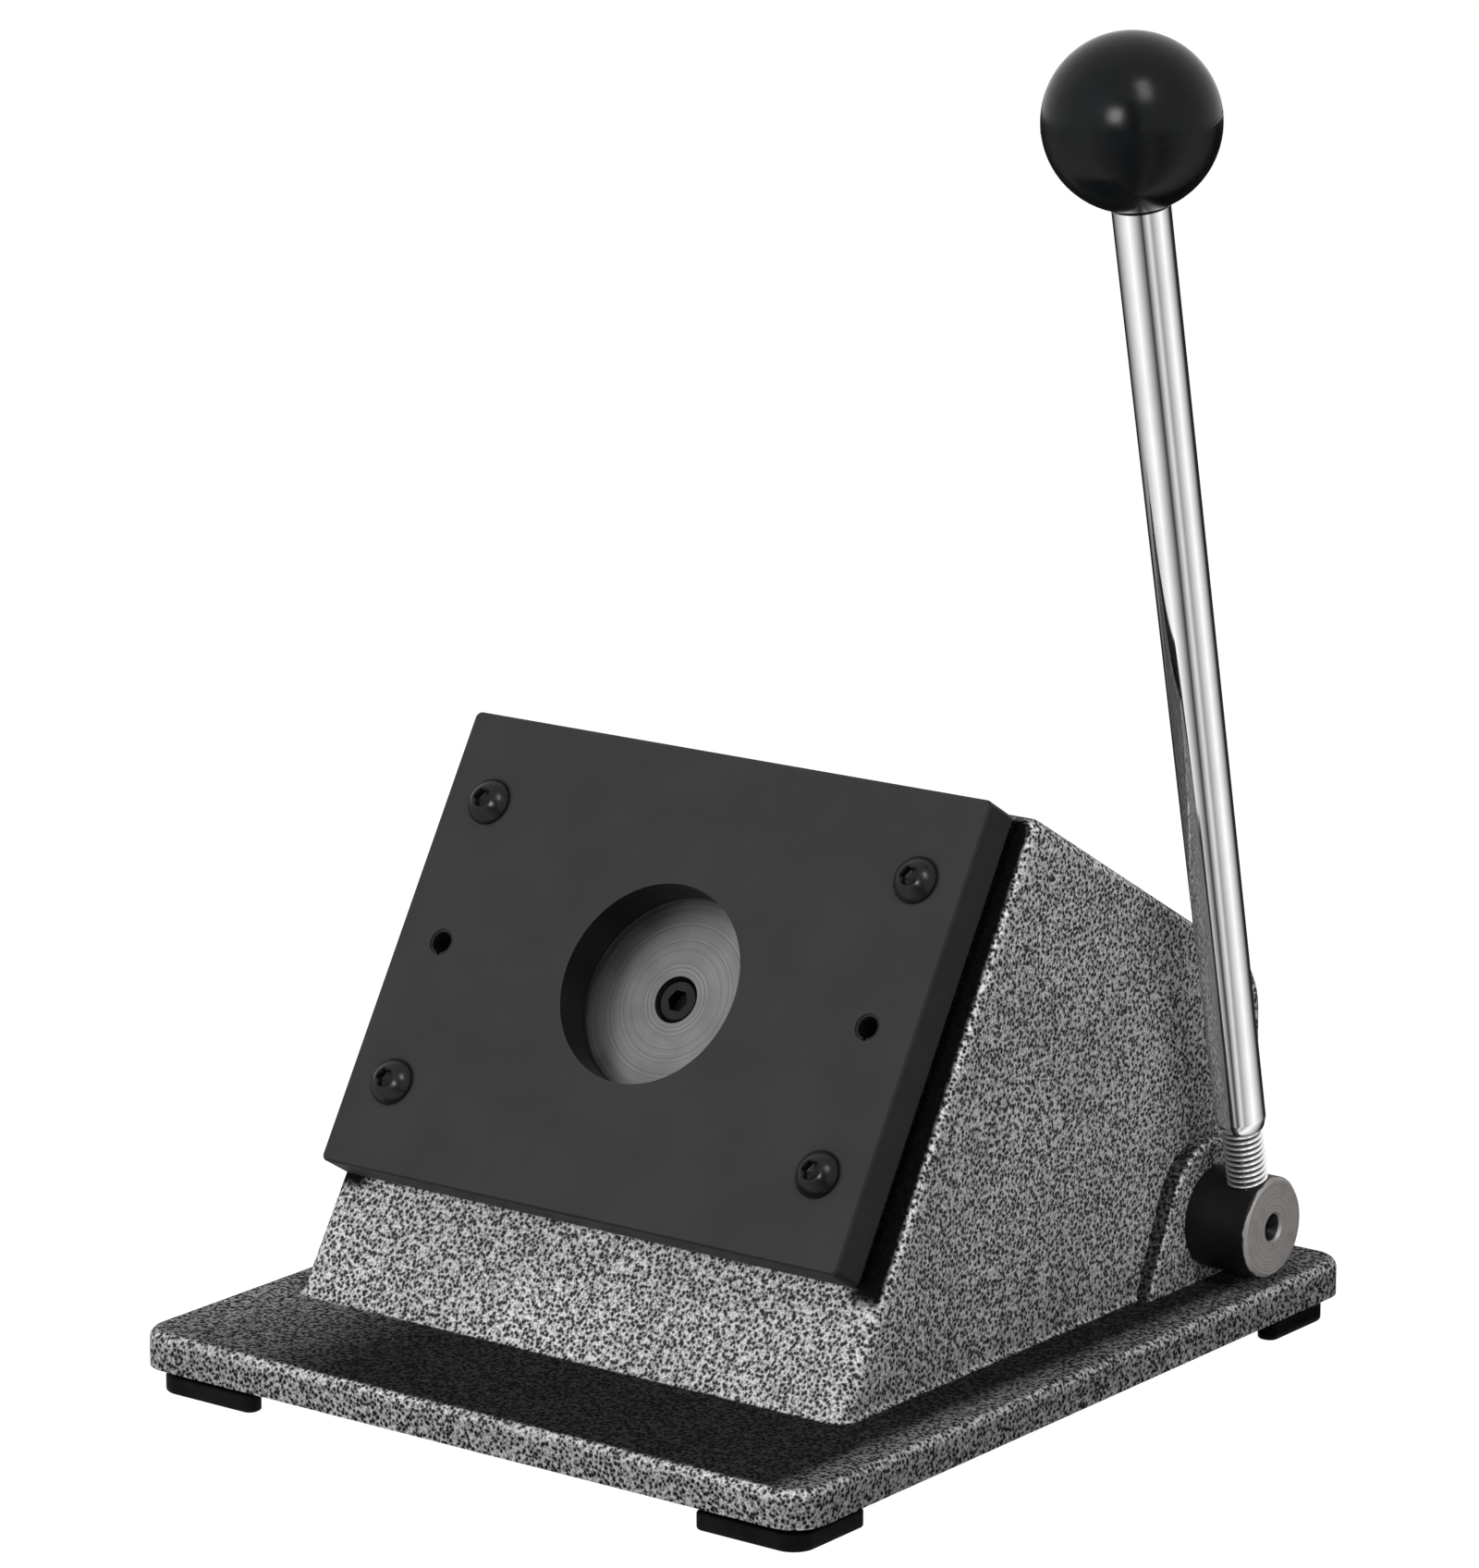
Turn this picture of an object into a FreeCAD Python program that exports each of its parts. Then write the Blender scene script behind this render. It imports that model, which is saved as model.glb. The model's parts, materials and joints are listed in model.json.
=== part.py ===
import FreeCAD, Part
import math
import os

# Bench-top lever disc cutter for badge making.
# Millimetres and degrees. +X is to the right of the person at the machine, +Y is away from
# them, +Z is up. The origin is on the table, under the middle of the whole machine.

# Base plate of the casting, and its rubber feet
base_width = 238.0
base_depth = 270.0
base_thick = 11.0
base_corner_r = 10.0
base_edge_r = 3.0
foot_front = 36.0
foot_side = 31.0
foot_leg = 6.5
foot_height = 8.0
foot_inset = 4.0
foot_corner_r = 7.0
foot_inner_r = 14.0
foot_end_share = 0.45
foot_edge_r = 0.8
foot_neck = 2.8
foot_neck_inset = 2.0
foot_recess = 3.6
foot_screw_inset = 6.6
foot_screw_r = 1.5
foot_screw_head_r = 2.75
foot_screw_head = 2.0
foot_screw_grip = 8.0

# Hollow wedge-shaped body of the casting
left_margin = 15.5
right_margin = 25.5
front_margin = 52.0
rear_margin = 7.0
face_angle = 58.7
rear_slope = 30.3
side_draft = 1.0
wall = 9.0
ridge_margin = 3.0
ridge_r = 8.0
rear_top_r = 22.0
body_edge_r = 5.0
cavity_edge_r = 8.0
cavity_ridge_r = 12.0
root_fillet_r = 2.0

# Cross shaft, its bosses and its bearings
journal_r = 12.0
head_step = 3.0
head_gap = 3.4
head_chamfer = 1.2
centre_hole_r = 2.5
centre_cone_r = 4.6
centre_hole_depth = 9.0
boss_wall = 8.2
boss_raise = 4.5
boss_foot_front = 36.0
boss_foot_rear = 26.0
boss_edge_r = 2.5
boss_inside = 14.0
shaft_bush_wall = 2.8
bush_boss_wall = 6.2
washer_thick = 1.5
washer_rim = 6.0
ring_thick = 1.5
ring_rim = 3.5
ring_groove = 0.9
ring_gap = 5.0
shaft_tail = 3.0

# Lever
lever_lean = 12.0
lever_travel = 65.0
lever_reach = 337.0
lever_thread_r = 6.0
lever_thread_wall = 0.6
rod_start = 31.5
rod_chamfer = 3.0
rod_chamfer_step = 0.8
rod_bottom_r = 7.3
rod_top_r = 8.25
rod_top_chamfer = 0.8
knob_r = 25.0
knob_lip = 0.75
knob_stud_r = 5.0
knob_stud_length = 16.0
insert_wall = 3.0
insert_length = 18.0

# Die set on the sloping face
plate_side_margin = 6.0
plate_height = 140.0
plate_corner_r = 2.0
plate_edge = 0.6
die_thick = 12.0
slot_gap = 2.0
guide_thick = 3.0
guide_inset = 4.0
die_hole_r = 30.0
spacer_width = 20.0
spacer_corner_r = 2.0
screw_inset_x = 16.0
screw_inset_y = 26.5
screw_r = 4.0
screw_head_r = 7.0
screw_head = 4.4
screw_rim = 0.9
screw_crown_r = 3.2
screw_key = 5.0
screw_key_depth = 2.6
screw_grip = 13.0
screw_floor = 4.0
screw_boss_r = 9.0
pin_r = 4.0
pin_bore_r = 3.2
pin_slit = 1.2
pin_floor = 2.5

# Punch, ram and return spring
punch_thick = 16.0
punch_recess = 0.3
punch_short = 1.5
punch_bay = 2.0
punch_screw_r = 4.0
punch_screw_head_r = 6.5
punch_screw_head = 8.0
punch_screw_sink = 1.0
punch_screw_edge = 0.8
punch_screw_grip = 18.0
punch_screw_key = 6.0
punch_screw_key_depth = 4.0
spigot_r = 10.0
spigot_length = 4.0
ram_r = 20.0
ram_bush_wall = 5.0
ram_boss_wall = 9.0
ram_boss_floor = 10.0
pad_thick = 7.0
pad_rim = 2.0
pad_edge = 0.8
pad_stem_r = 8.0
pad_stem_length = 15.0
seat_thick = 2.0
spring_length = 46.5
spring_wire_r = 2.0
spring_bore_gap = 2.0
spring_turns = 6
spring_end_gap = 0.6

# Cam
cam_width = 24.0
cam_wall = 6.0
cam_start_lift = 2.5
cam_nose_r = 11.0
cam_overrun = 2.0
key_width = 8.0
key_depth = 4.0
key_height = 7.2
key_end = 0.8
set_screw_r = 3.0
set_screw_sink = 0.8
set_screw_key = 3.0
set_screw_key_depth = 3.0

# Clearances, and how far a cutting shape runs past the face that it cuts
running = 0.05
seated = 0.02
bolt_clear = 0.25
face_gap = 0.2
rest_gap = 0.3
head_clear = 0.6
over = 1.0

X = FreeCAD.Vector(1, 0, 0)
Y = FreeCAD.Vector(0, 1, 0)
Z = FreeCAD.Vector(0, 0, 1)
ORIGIN = FreeCAD.Vector(0, 0, 0)

# Sizes that follow from the ones above
head_r = journal_r + head_step
shaft_bush_r = journal_r + shaft_bush_wall
boss_r = shaft_bush_r + boss_wall
cam_base_r = journal_r + cam_wall
cam_rest_lift = cam_base_r + cam_start_lift
lever_inset = lever_thread_r + head_chamfer + face_gap
lever_seat = centre_cone_r + lever_thread_wall
knob_flat_r = rod_top_r + knob_lip
knob_flat = lever_reach - math.sqrt(knob_r * knob_r - knob_flat_r * knob_flat_r)
body_width = base_width - left_margin - right_margin
plate_width = body_width - 2 * plate_side_margin
screw_pitch_x = plate_width - 2 * screw_inset_x
screw_pitch_y = plate_height - 2 * screw_inset_y
ram_bush_r = ram_r + running + ram_bush_wall
ram_boss_r = ram_bush_r + ram_boss_wall
bay_r = die_hole_r + punch_bay
bay_boss_r = bay_r + ram_boss_wall
punch_r = die_hole_r - running
spring_r = ram_r + spring_bore_gap + spring_wire_r
spring_end_pitch = 2 * spring_wire_r + spring_end_gap
pad_r = spring_r + spring_wire_r + pad_rim

# Places along the punch axis, counted outwards from the casting's face
slot_back = guide_thick
die_back = slot_back + slot_gap
die_front = die_back + die_thick
punch_front = slot_back - punch_recess
punch_back = punch_front - punch_thick
bay_floor = punch_back - rest_gap
pin_end = pin_floor - wall
stroke = die_front - punch_short - punch_front
lift_rate = stroke / math.radians(lever_travel)


def cam_direction(angle):
    """Unit vector square to the shaft, at an angle in radians from +Y towards +Z."""
    return Y * math.cos(angle) + Z * math.sin(angle)


# The cam pushes along the punch axis. Its flank is an involute, so the lift grows evenly with the turn.
cam_push = math.radians(90 + face_angle)
cam_first = cam_push + math.radians(cam_overrun)
cam_last = cam_push - math.radians(lever_travel + cam_overrun)


def cam_flank(angle):
    """Point of the cam's flank, from the shaft's axis, whose outward normal has this angle."""
    lift = cam_rest_lift + lift_rate * (cam_push - angle)
    return cam_direction(angle) * lift - cam_direction(angle + math.pi / 2) * lift_rate


cam_nose = cam_flank(cam_last) - cam_direction(cam_last) * cam_nose_r
nose_angle = math.atan2(cam_nose.z, cam_nose.y)

# Places in the machine. At rest the cam's nose meets the rear wall, which stops the lever there.
base_bottom = foot_height
base_top = base_bottom + base_thick
lever_reach_x = base_width / 2 - lever_inset
right_reach = max(lever_reach_x + knob_r, base_width / 2)
base_x = (base_width / 2 - right_reach) / 2
body_x = base_x + (left_margin - right_margin) / 2
shaft_end = base_x + base_width / 2
lever_x = base_x + lever_reach_x
rear_wall = base_depth / 2 - rear_margin
shaft_y = rear_wall - wall - rest_gap - cam_nose.y - cam_nose_r
shaft_z = base_top + head_gap + head_r
shaft_middle = FreeCAD.Vector(body_x, shaft_y, shaft_z)
boss_face_right = body_x + body_width / 2 + boss_raise
boss_face_left = body_x - body_width / 2 - boss_raise
boss_inner_right = body_x + body_width / 2 - wall - boss_inside
boss_inner_left = body_x - body_width / 2 + wall + boss_inside
ring_place = boss_face_left - face_gap - washer_thick
shaft_left_end = ring_place - ring_thick - shaft_tail

# The punch axis is square to the sloping face and meets the shaft's axis
face_foot = FreeCAD.Vector(body_x, front_margin - base_depth / 2, base_top)
face_up = FreeCAD.Vector(0, math.cos(math.radians(face_angle)), math.sin(math.radians(face_angle)))
face_out = FreeCAD.Vector(0, -math.sin(math.radians(face_angle)), math.cos(math.radians(face_angle)))
shaft_depth = (face_foot - shaft_middle).dot(face_out)
face_centre = shaft_middle + face_out * shaft_depth
plate_rise = (face_centre - face_foot).dot(face_up)
body_height = (plate_rise + plate_height / 2 + ridge_margin) * math.sin(math.radians(face_angle))
pad_back = cam_rest_lift + rest_gap - shaft_depth
pad_front = pad_back + pad_thick
seat_back = pad_front + spring_length
ram_boss_end = seat_back + seat_thick
press = FreeCAD.Placement(face_centre, FreeCAD.Rotation(X, face_angle))
lever = FreeCAD.Placement(
    FreeCAD.Vector(lever_x, shaft_y, shaft_z), FreeCAD.Rotation(X, lever_lean)
)


def rounded_wire(points, radii):
    """Closed wire through the points, with each corner rounded by its own radius."""
    count = len(points)
    starts = []
    middles = []
    ends = []
    for i in range(count):
        corner = points[i]
        back = (points[i - 1] - corner).normalize()
        ahead = (points[(i + 1) % count] - corner).normalize()
        half = back.getAngle(ahead) / 2
        reach = radii[i] / math.tan(half)
        inward = (back + ahead).normalize()
        starts.append(corner + back * reach)
        middles.append(corner + inward * (radii[i] / math.sin(half) - radii[i]))
        ends.append(corner + ahead * reach)
    edges = []
    for i in range(count):
        if radii[i] > 0:
            edges.append(Part.Arc(starts[i], middles[i], ends[i]).toShape())
        edges.append(Part.LineSegment(ends[i], starts[(i + 1) % count]).toShape())
    return Part.Wire(edges)


def slab(centre_x, centre_y, width, depth, corner_r, low, high):
    """Plate with rounded corners that stands from low to high along Z."""
    left = centre_x - width / 2
    right = centre_x + width / 2
    front = centre_y - depth / 2
    back = centre_y + depth / 2
    corners = [
        FreeCAD.Vector(left, front, low),
        FreeCAD.Vector(right, front, low),
        FreeCAD.Vector(right, back, low),
        FreeCAD.Vector(left, back, low),
    ]
    outline = rounded_wire(corners, [corner_r] * len(corners))
    return Part.Face(outline).extrude(Z * (high - low))


def rod(radius, start, end, middle=ORIGIN, axis=Z):
    """Round bar along an axis, from start to end as counted from the middle point."""
    return Part.makeCylinder(radius, end - start, middle + axis * start, axis)


def across(radius, left, right):
    """Round bar on the cross shaft's axis, from left to right along X."""
    return rod(radius, left, right, FreeCAD.Vector(0, shaft_y, shaft_z), X)


def turned(profile):
    """Solid turned about Z from a list of (radius, height) points."""
    points = [FreeCAD.Vector(radius, 0, height) for radius, height in profile]
    face = Part.Face(Part.makePolygon(points + points[:1]))
    return face.revolve(ORIGIN, Z, 360)


def hexagon(across_flats, low, high):
    """Six-sided bar for a socket, from low to high along Z."""
    corner_r = across_flats / math.sqrt(3)
    points = []
    for i in range(7):
        turn = math.radians(60 * i)
        points.append(FreeCAD.Vector(corner_r * math.cos(turn), corner_r * math.sin(turn), low))
    return Part.Face(Part.makePolygon(points)).extrude(Z * (high - low))


def edges_where(shape, test):
    """Edges whose middle point passes the test."""
    found = []
    for edge in shape.Edges:
        if test(edge.valueAt((edge.FirstParameter + edge.LastParameter) / 2)):
            found.append(edge)
    return found


def edges_at(shape, height):
    """Edges that lie at one height."""
    return edges_where(shape, lambda middle: abs(middle.z - height) < face_gap)


def on_press(solid):
    """Moves a solid made about the punch axis onto the sloping face."""
    solid.Placement = press.multiply(solid.Placement)
    return solid


def on_lever(solid):
    """Moves a solid made about the lever's axis, from the shaft up, onto the lever."""
    solid.Placement = lever.multiply(solid.Placement)
    return solid


def screw_places():
    """Centres of the plate screws, seen square to the sloping face."""
    corners = [(left_right, low_high) for left_right in (-1, 1) for low_high in (-1, 1)]
    return [FreeCAD.Vector(i * screw_pitch_x / 2, j * screw_pitch_y / 2, 0) for i, j in corners]


def pin_places():
    """Centres of the locating pins, level with the die hole."""
    return [X * (-screw_pitch_x / 2), X * (screw_pitch_x / 2)]


def foot_corners():
    """Outer corner of each rubber foot on the table, and the two ways inward from it."""
    reach_x = X * (base_width / 2 - foot_inset)
    reach_y = Y * (base_depth / 2 - foot_inset)
    middle = X * base_x
    return {
        "foot_front_left": (middle - reach_x - reach_y, X, Y),
        "foot_front_right": (middle + reach_x - reach_y, X * -1, Y),
        "foot_rear_left": (middle - reach_x + reach_y, X, Y * -1),
        "foot_rear_right": (middle + reach_x + reach_y, X * -1, Y * -1),
    }


def foot_screw_places():
    """Centres of the foot screws, in the broad corner of each foot."""
    return [corner + (aside + back) * foot_screw_inset for corner, aside, back in foot_corners().values()]


def wedge(inset, bottom, ridge_round, rear_round, rim_round):
    """Wedge of the body, drawn in by an inset: a side profile crossed with a tapered front view."""
    lean = math.tan(math.radians(face_angle))
    fall = math.tan(math.radians(rear_slope))
    top_z = base_top + body_height
    top_y = face_foot.y + body_height / lean
    front_y = face_foot.y + inset / math.sin(math.radians(face_angle))
    rear_z = top_z - inset / math.cos(math.radians(rear_slope))
    ridge_y = (rear_z - base_top + front_y * lean + top_y * fall) / (lean + fall)
    back_y = rear_wall - inset
    left = body_x - body_width
    profile = [
        FreeCAD.Vector(left, front_y + (bottom - base_top) / lean, bottom),
        FreeCAD.Vector(left, ridge_y, base_top + (ridge_y - front_y) * lean),
        FreeCAD.Vector(left, back_y, rear_z - (back_y - top_y) * fall),
        FreeCAD.Vector(left, back_y, bottom),
    ]
    side_view = Part.Face(rounded_wire(profile, [0, ridge_round, rear_round, 0]))
    draft = math.tan(math.radians(side_draft))
    foot_half = body_width / 2 - inset - (bottom - base_top) * draft
    top_half = body_width / 2 - inset - body_height * draft
    front = -base_depth
    ends = [
        FreeCAD.Vector(body_x - foot_half, front, bottom),
        FreeCAD.Vector(body_x + foot_half, front, bottom),
        FreeCAD.Vector(body_x + top_half, front, top_z),
        FreeCAD.Vector(body_x - top_half, front, top_z),
    ]
    front_view = Part.Face(Part.makePolygon(ends + ends[:1]))
    solid = side_view.extrude(X * (2 * body_width)).common(front_view.extrude(Y * (2 * base_depth)))

    def on_side_rim(middle):
        return middle.z > bottom + over and abs(middle.x - body_x) > body_width / 4
    return solid.makeFillet(rim_round, edges_where(solid, on_side_rim))


def boss_outline():
    """Side view of a shaft boss: an arch whose flanks flare down into the base."""
    centre = FreeCAD.Vector(0, shaft_y, shaft_z)
    drop = shaft_z - base_top + base_thick / 2

    def tangent_angle(foot):
        return math.atan2(foot, drop) + math.acos(boss_r / math.hypot(foot, drop)) - math.pi / 2
    front_top = centre + cam_direction(math.pi - tangent_angle(boss_foot_front)) * boss_r
    rear_top = centre + cam_direction(tangent_angle(boss_foot_rear)) * boss_r
    front_foot = centre - Y * boss_foot_front - Z * drop
    rear_foot = centre + Y * boss_foot_rear - Z * drop
    return Part.Wire([
        Part.Arc(front_top, centre + Z * boss_r, rear_top).toShape(),
        Part.LineSegment(rear_top, rear_foot).toShape(),
        Part.LineSegment(rear_foot, front_foot).toShape(),
        Part.LineSegment(front_foot, front_top).toShape(),
    ])


def shaft_boss(face, inner):
    """Boss on one side of the body, raised outside and sleeved inside."""
    outward = 1 if face > inner else -1
    root = face - outward * (boss_raise + wall / 2)
    outline = boss_outline()
    outline.translate(X * root)
    boss = Part.Face(outline).extrude(X * (face - root))
    rim = edges_where(boss, lambda middle: abs(middle.x - face) < face_gap and middle.z > base_top)
    boss = boss.makeFillet(boss_edge_r, rim)
    return boss.fuse(across(shaft_bush_r + bush_boss_wall, min(inner, root), max(inner, root)))


def casting_shell():
    """Base plate and hollow wedge, before the bosses."""
    base = slab(base_x, 0, base_width, base_depth, base_corner_r, base_bottom, base_top)
    base = base.makeFillet(base_edge_r, edges_at(base, base_top))
    shell_foot = base_top - base_thick / 2
    shell = wedge(0, shell_foot, ridge_r, rear_top_r, body_edge_r)
    body = base.fuse(shell).removeSplitter()

    def at_root(middle):
        off_side = abs(middle.x - base_x) < base_width / 2 - base_edge_r - face_gap
        off_end = abs(middle.y) < base_depth / 2 - base_edge_r - face_gap
        return abs(middle.z - base_top) < face_gap and off_side and off_end
    root_r = min(root_fillet_r, (rear_margin - base_edge_r) / 2)
    body = body.makeFillet(root_r, edges_where(body, at_root))
    pit_rear_r = max(rear_top_r - wall, cavity_ridge_r)
    return body.cut(wedge(wall, base_bottom - over, cavity_ridge_r, pit_rear_r, cavity_edge_r))


def make_cast_body():
    """One hollow casting: base plate, wedge body, bearing bosses, ram sleeve and tapped bosses."""
    bosses = [
        shaft_boss(boss_face_right, boss_inner_right),
        shaft_boss(boss_face_left, boss_inner_left),
        on_press(rod(bay_boss_r, bay_floor - ram_boss_floor, -wall / 2)),
        on_press(rod(ram_boss_r, ram_boss_end, bay_floor)),
    ]
    bores = [
        across(shaft_bush_r + seated, boss_face_left - over, boss_face_right + over),
        on_press(rod(bay_r, bay_floor, over)),
        on_press(rod(ram_bush_r + seated, ram_boss_end - over, bay_floor + over)),
    ]
    for place in screw_places():
        bosses.append(on_press(rod(screw_boss_r, -screw_grip - screw_floor, -wall / 2, place)))
        bores.append(on_press(rod(screw_r + seated, -screw_grip - rest_gap, over, place)))
    for place in pin_places():
        bores.append(on_press(rod(pin_r + seated, pin_end - rest_gap, over, place)))
    for place in foot_screw_places():
        bores.append(rod(foot_screw_r + seated, 0, base_bottom + foot_screw_grip + rest_gap, place))
    body = casting_shell()
    for boss in bosses:
        body = body.fuse(boss)
    for bore in bores:
        body = body.cut(bore)
    return body.removeSplitter()


def angle_strip(corner, aside, back, inset, low, high):
    """Strip along two edges of the base, with round ends and a broad inner corner."""
    front_end = foot_front - inset
    side_end = foot_side - inset
    places = [
        (inset, inset),
        (front_end, inset),
        (front_end, foot_leg),
        (foot_leg, foot_leg),
        (foot_leg, side_end),
        (inset, side_end),
    ]
    end_r = foot_end_share * (foot_leg - inset)
    radii = [foot_corner_r - inset, end_r, end_r, foot_inner_r, end_r, end_r]
    points = [corner + aside * along + back * deep + Z * low for along, deep in places]
    return Part.Face(rounded_wire(points, radii)).extrude(Z * (high - low))


def make_foot(corner, aside, back):
    """Rubber corner strip with a narrower neck under the base and a sunk hole for its screw."""
    shoulder = foot_height - foot_neck
    pad = angle_strip(corner, aside, back, 0, 0, shoulder)
    pad = pad.makeFillet(foot_edge_r, edges_at(pad, 0) + edges_at(pad, shoulder))
    neck = angle_strip(corner, aside, back, foot_neck_inset, shoulder - over, foot_height)
    pad = pad.fuse(neck).removeSplitter()
    place = corner + (aside + back) * foot_screw_inset
    pad = pad.cut(rod(foot_screw_head_r + head_clear, -over, foot_recess, place))
    return pad.cut(rod(foot_screw_r + bolt_clear, 0, foot_height + over, place))


def make_foot_screws():
    """Round-headed screws, one in each foot."""
    screws = []
    head_low = foot_recess - foot_screw_head
    for place in foot_screw_places():
        head = rod(foot_screw_head_r, head_low, foot_recess, place)
        head = head.makeFillet(foot_screw_head / 3, edges_at(head, head_low))
        shank = rod(foot_screw_r, foot_recess, base_bottom + foot_screw_grip, place)
        screws.append(head.fuse(shank).removeSplitter())
    return Part.makeCompound(screws)


def holed_plate(low, high, inset=0):
    """Plate that covers the casting's face, less an inset all round, with its screw and pin holes."""
    width = plate_width - 2 * inset
    height = plate_height - 2 * inset
    plate = slab(0, 0, width, height, plate_corner_r, low, high)
    for place in screw_places():
        plate = plate.cut(rod(screw_r + bolt_clear, low - over, high + over, place))
    for place in pin_places():
        plate = plate.cut(rod(pin_r + seated, low - over, high + over, place))
    return plate


def make_guide_plate():
    """Thin plate on the casting's face. The punch slides in its hole."""
    return holed_plate(0, slot_back, guide_inset).cut(rod(die_hole_r, -over, slot_back + over))


def make_die_plate():
    """Thick front plate with the die hole. Its outer rim is broken by a small chamfer."""
    plate = holed_plate(die_back, die_front)
    half_x = plate_width / 2 - plate_corner_r
    half_y = plate_height / 2 - plate_corner_r

    def on_rim(middle):
        outside = abs(middle.x) > half_x or abs(middle.y) > half_y
        return abs(middle.z - die_front) < face_gap and outside
    plate = plate.makeChamfer(plate_edge, edges_where(plate, on_rim))
    return plate.cut(rod(die_hole_r, die_back - over, die_front + over))


def make_spacer(side):
    """Strip that holds the paper slot open along one side of the plates."""
    middle = side * ((plate_width - spacer_width) / 2 - guide_inset)
    strip = slab(middle, 0, spacer_width, plate_height, spacer_corner_r, slot_back, die_back)
    return strip.common(holed_plate(slot_back, die_back, guide_inset))


def make_plate_screws():
    """Button-head socket screws through the plates and into the casting."""
    screws = []
    top = die_front + screw_head
    rise = screw_head - screw_rim
    drop = (screw_head_r ** 2 - screw_crown_r ** 2 - rise ** 2) / (2 * rise)
    dome_r = math.hypot(screw_head_r, drop)
    slant = (math.atan2(drop, screw_head_r) + math.atan2(drop + rise, screw_crown_r)) / 2
    dome_low = die_front + screw_rim - drop
    seat = FreeCAD.Vector(0, 0, die_front)
    rim = FreeCAD.Vector(screw_head_r, 0, die_front)
    shoulder = FreeCAD.Vector(screw_head_r, 0, die_front + screw_rim)
    bulge = FreeCAD.Vector(dome_r * math.cos(slant), 0, dome_low + dome_r * math.sin(slant))
    crown = FreeCAD.Vector(screw_crown_r, 0, top)
    peak = FreeCAD.Vector(0, 0, top)
    outline = Part.Wire([
        Part.LineSegment(seat, rim).toShape(),
        Part.LineSegment(rim, shoulder).toShape(),
        Part.Arc(shoulder, bulge, crown).toShape(),
        Part.LineSegment(crown, peak).toShape(),
        Part.LineSegment(peak, seat).toShape(),
    ])
    for place in screw_places():
        head = Part.Face(outline).revolve(ORIGIN, Z, 360)
        screw = head.fuse(rod(screw_r, -screw_grip, die_front)).removeSplitter()
        screw = screw.cut(hexagon(screw_key, top - screw_key_depth, top + over))
        screw.translate(place)
        screws.append(screw)
    return Part.makeCompound(screws)


def make_locating_pins():
    """Slit spring pins that line the plates up with the casting."""
    pins = []
    top = die_front - rest_gap
    for place in pin_places():
        pin = rod(pin_r, pin_end, top).cut(rod(pin_bore_r, pin_end - over, top + over))
        pin = pin.cut(slab(0, -pin_r, pin_slit, 2 * pin_r, 0, pin_end - over, top + over))
        pin.translate(place)
        pins.append(pin)
    return Part.makeCompound(pins)


def make_punch():
    """Round cutting punch with a sunk screw hole and a recess for the ram's spigot."""
    sink_floor = punch_front - punch_screw_sink - punch_screw_head
    punch = rod(punch_r, punch_back, punch_front)
    punch = punch.cut(rod(punch_screw_head_r + head_clear, sink_floor, punch_front + over))
    punch = punch.cut(rod(punch_screw_r + bolt_clear, punch_back - over, punch_front))
    return punch.cut(rod(spigot_r + seated, punch_back - over, punch_back + spigot_length + face_gap))


def make_punch_screw():
    """Socket cap screw that holds the punch on the ram."""
    top = punch_front - punch_screw_sink
    seat = top - punch_screw_head
    head = rod(punch_screw_head_r, seat, top)
    head = head.makeChamfer(punch_screw_edge, edges_at(head, top))
    screw = head.fuse(rod(punch_screw_r, punch_back - punch_screw_grip, seat)).removeSplitter()
    return screw.cut(hexagon(punch_screw_key, top - punch_screw_key_depth, top + over))


def make_ram():
    """Round slide with a spigot for the punch, a tapped hole and a bore for the pad's stem."""
    spigot = rod(spigot_r, punch_back - over, punch_back + spigot_length)
    ram = rod(ram_r, pad_front, punch_back).fuse(spigot).removeSplitter()
    tapped_end = punch_back - punch_screw_grip - rest_gap
    ram = ram.cut(rod(punch_screw_r + seated, tapped_end, punch_front))
    return ram.cut(rod(pad_stem_r + seated, pad_front - over, pad_front + pad_stem_length + rest_gap))


def make_follower_pad():
    """Hardened pad with a stem. Its flat back rides on the cam and its rim holds the spring."""
    flange = rod(pad_r, pad_back, pad_front)
    flange = flange.makeChamfer(pad_edge, edges_at(flange, pad_back) + edges_at(flange, pad_front))
    stem = rod(pad_stem_r, pad_front - over, pad_front + pad_stem_length)
    return flange.fuse(stem).removeSplitter()


def make_ram_bush():
    """Bronze sleeve that guides the ram."""
    sleeve = rod(ram_bush_r, ram_boss_end, bay_floor)
    return sleeve.cut(rod(ram_r + running, ram_boss_end - over, bay_floor + over))


def make_spring_seat():
    """Washer between the return spring and the casting's sleeve."""
    washer = rod(pad_r, seat_back, ram_boss_end)
    return washer.cut(rod(ram_r + rest_gap, seat_back - over, ram_boss_end + over))


def arc_between(start, corner, end):
    """Arc between two points whose end tangents meet at a corner."""
    middle = (start + end) / 2
    half_turn = (corner - start).getAngle(end - start)
    rise = start.distanceToPoint(end) / 2 * math.tan(half_turn / 2)
    return Part.Arc(start, middle + (corner - middle).normalize() * rise, end).toShape()


def biarc(start, start_way, end, end_way):
    """Two arcs that leave start along one direction and reach end along another."""
    chord = end - start
    along = chord.dot(start_way + end_way)
    spread = 2 * (1 - start_way.dot(end_way))
    reach = (math.sqrt(along * along + spread * chord.dot(chord)) - along) / spread
    first = start + start_way * reach
    second = end - end_way * reach
    join = (first + second) / 2
    return [arc_between(start, first, join), arc_between(join, second, end)]


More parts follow.
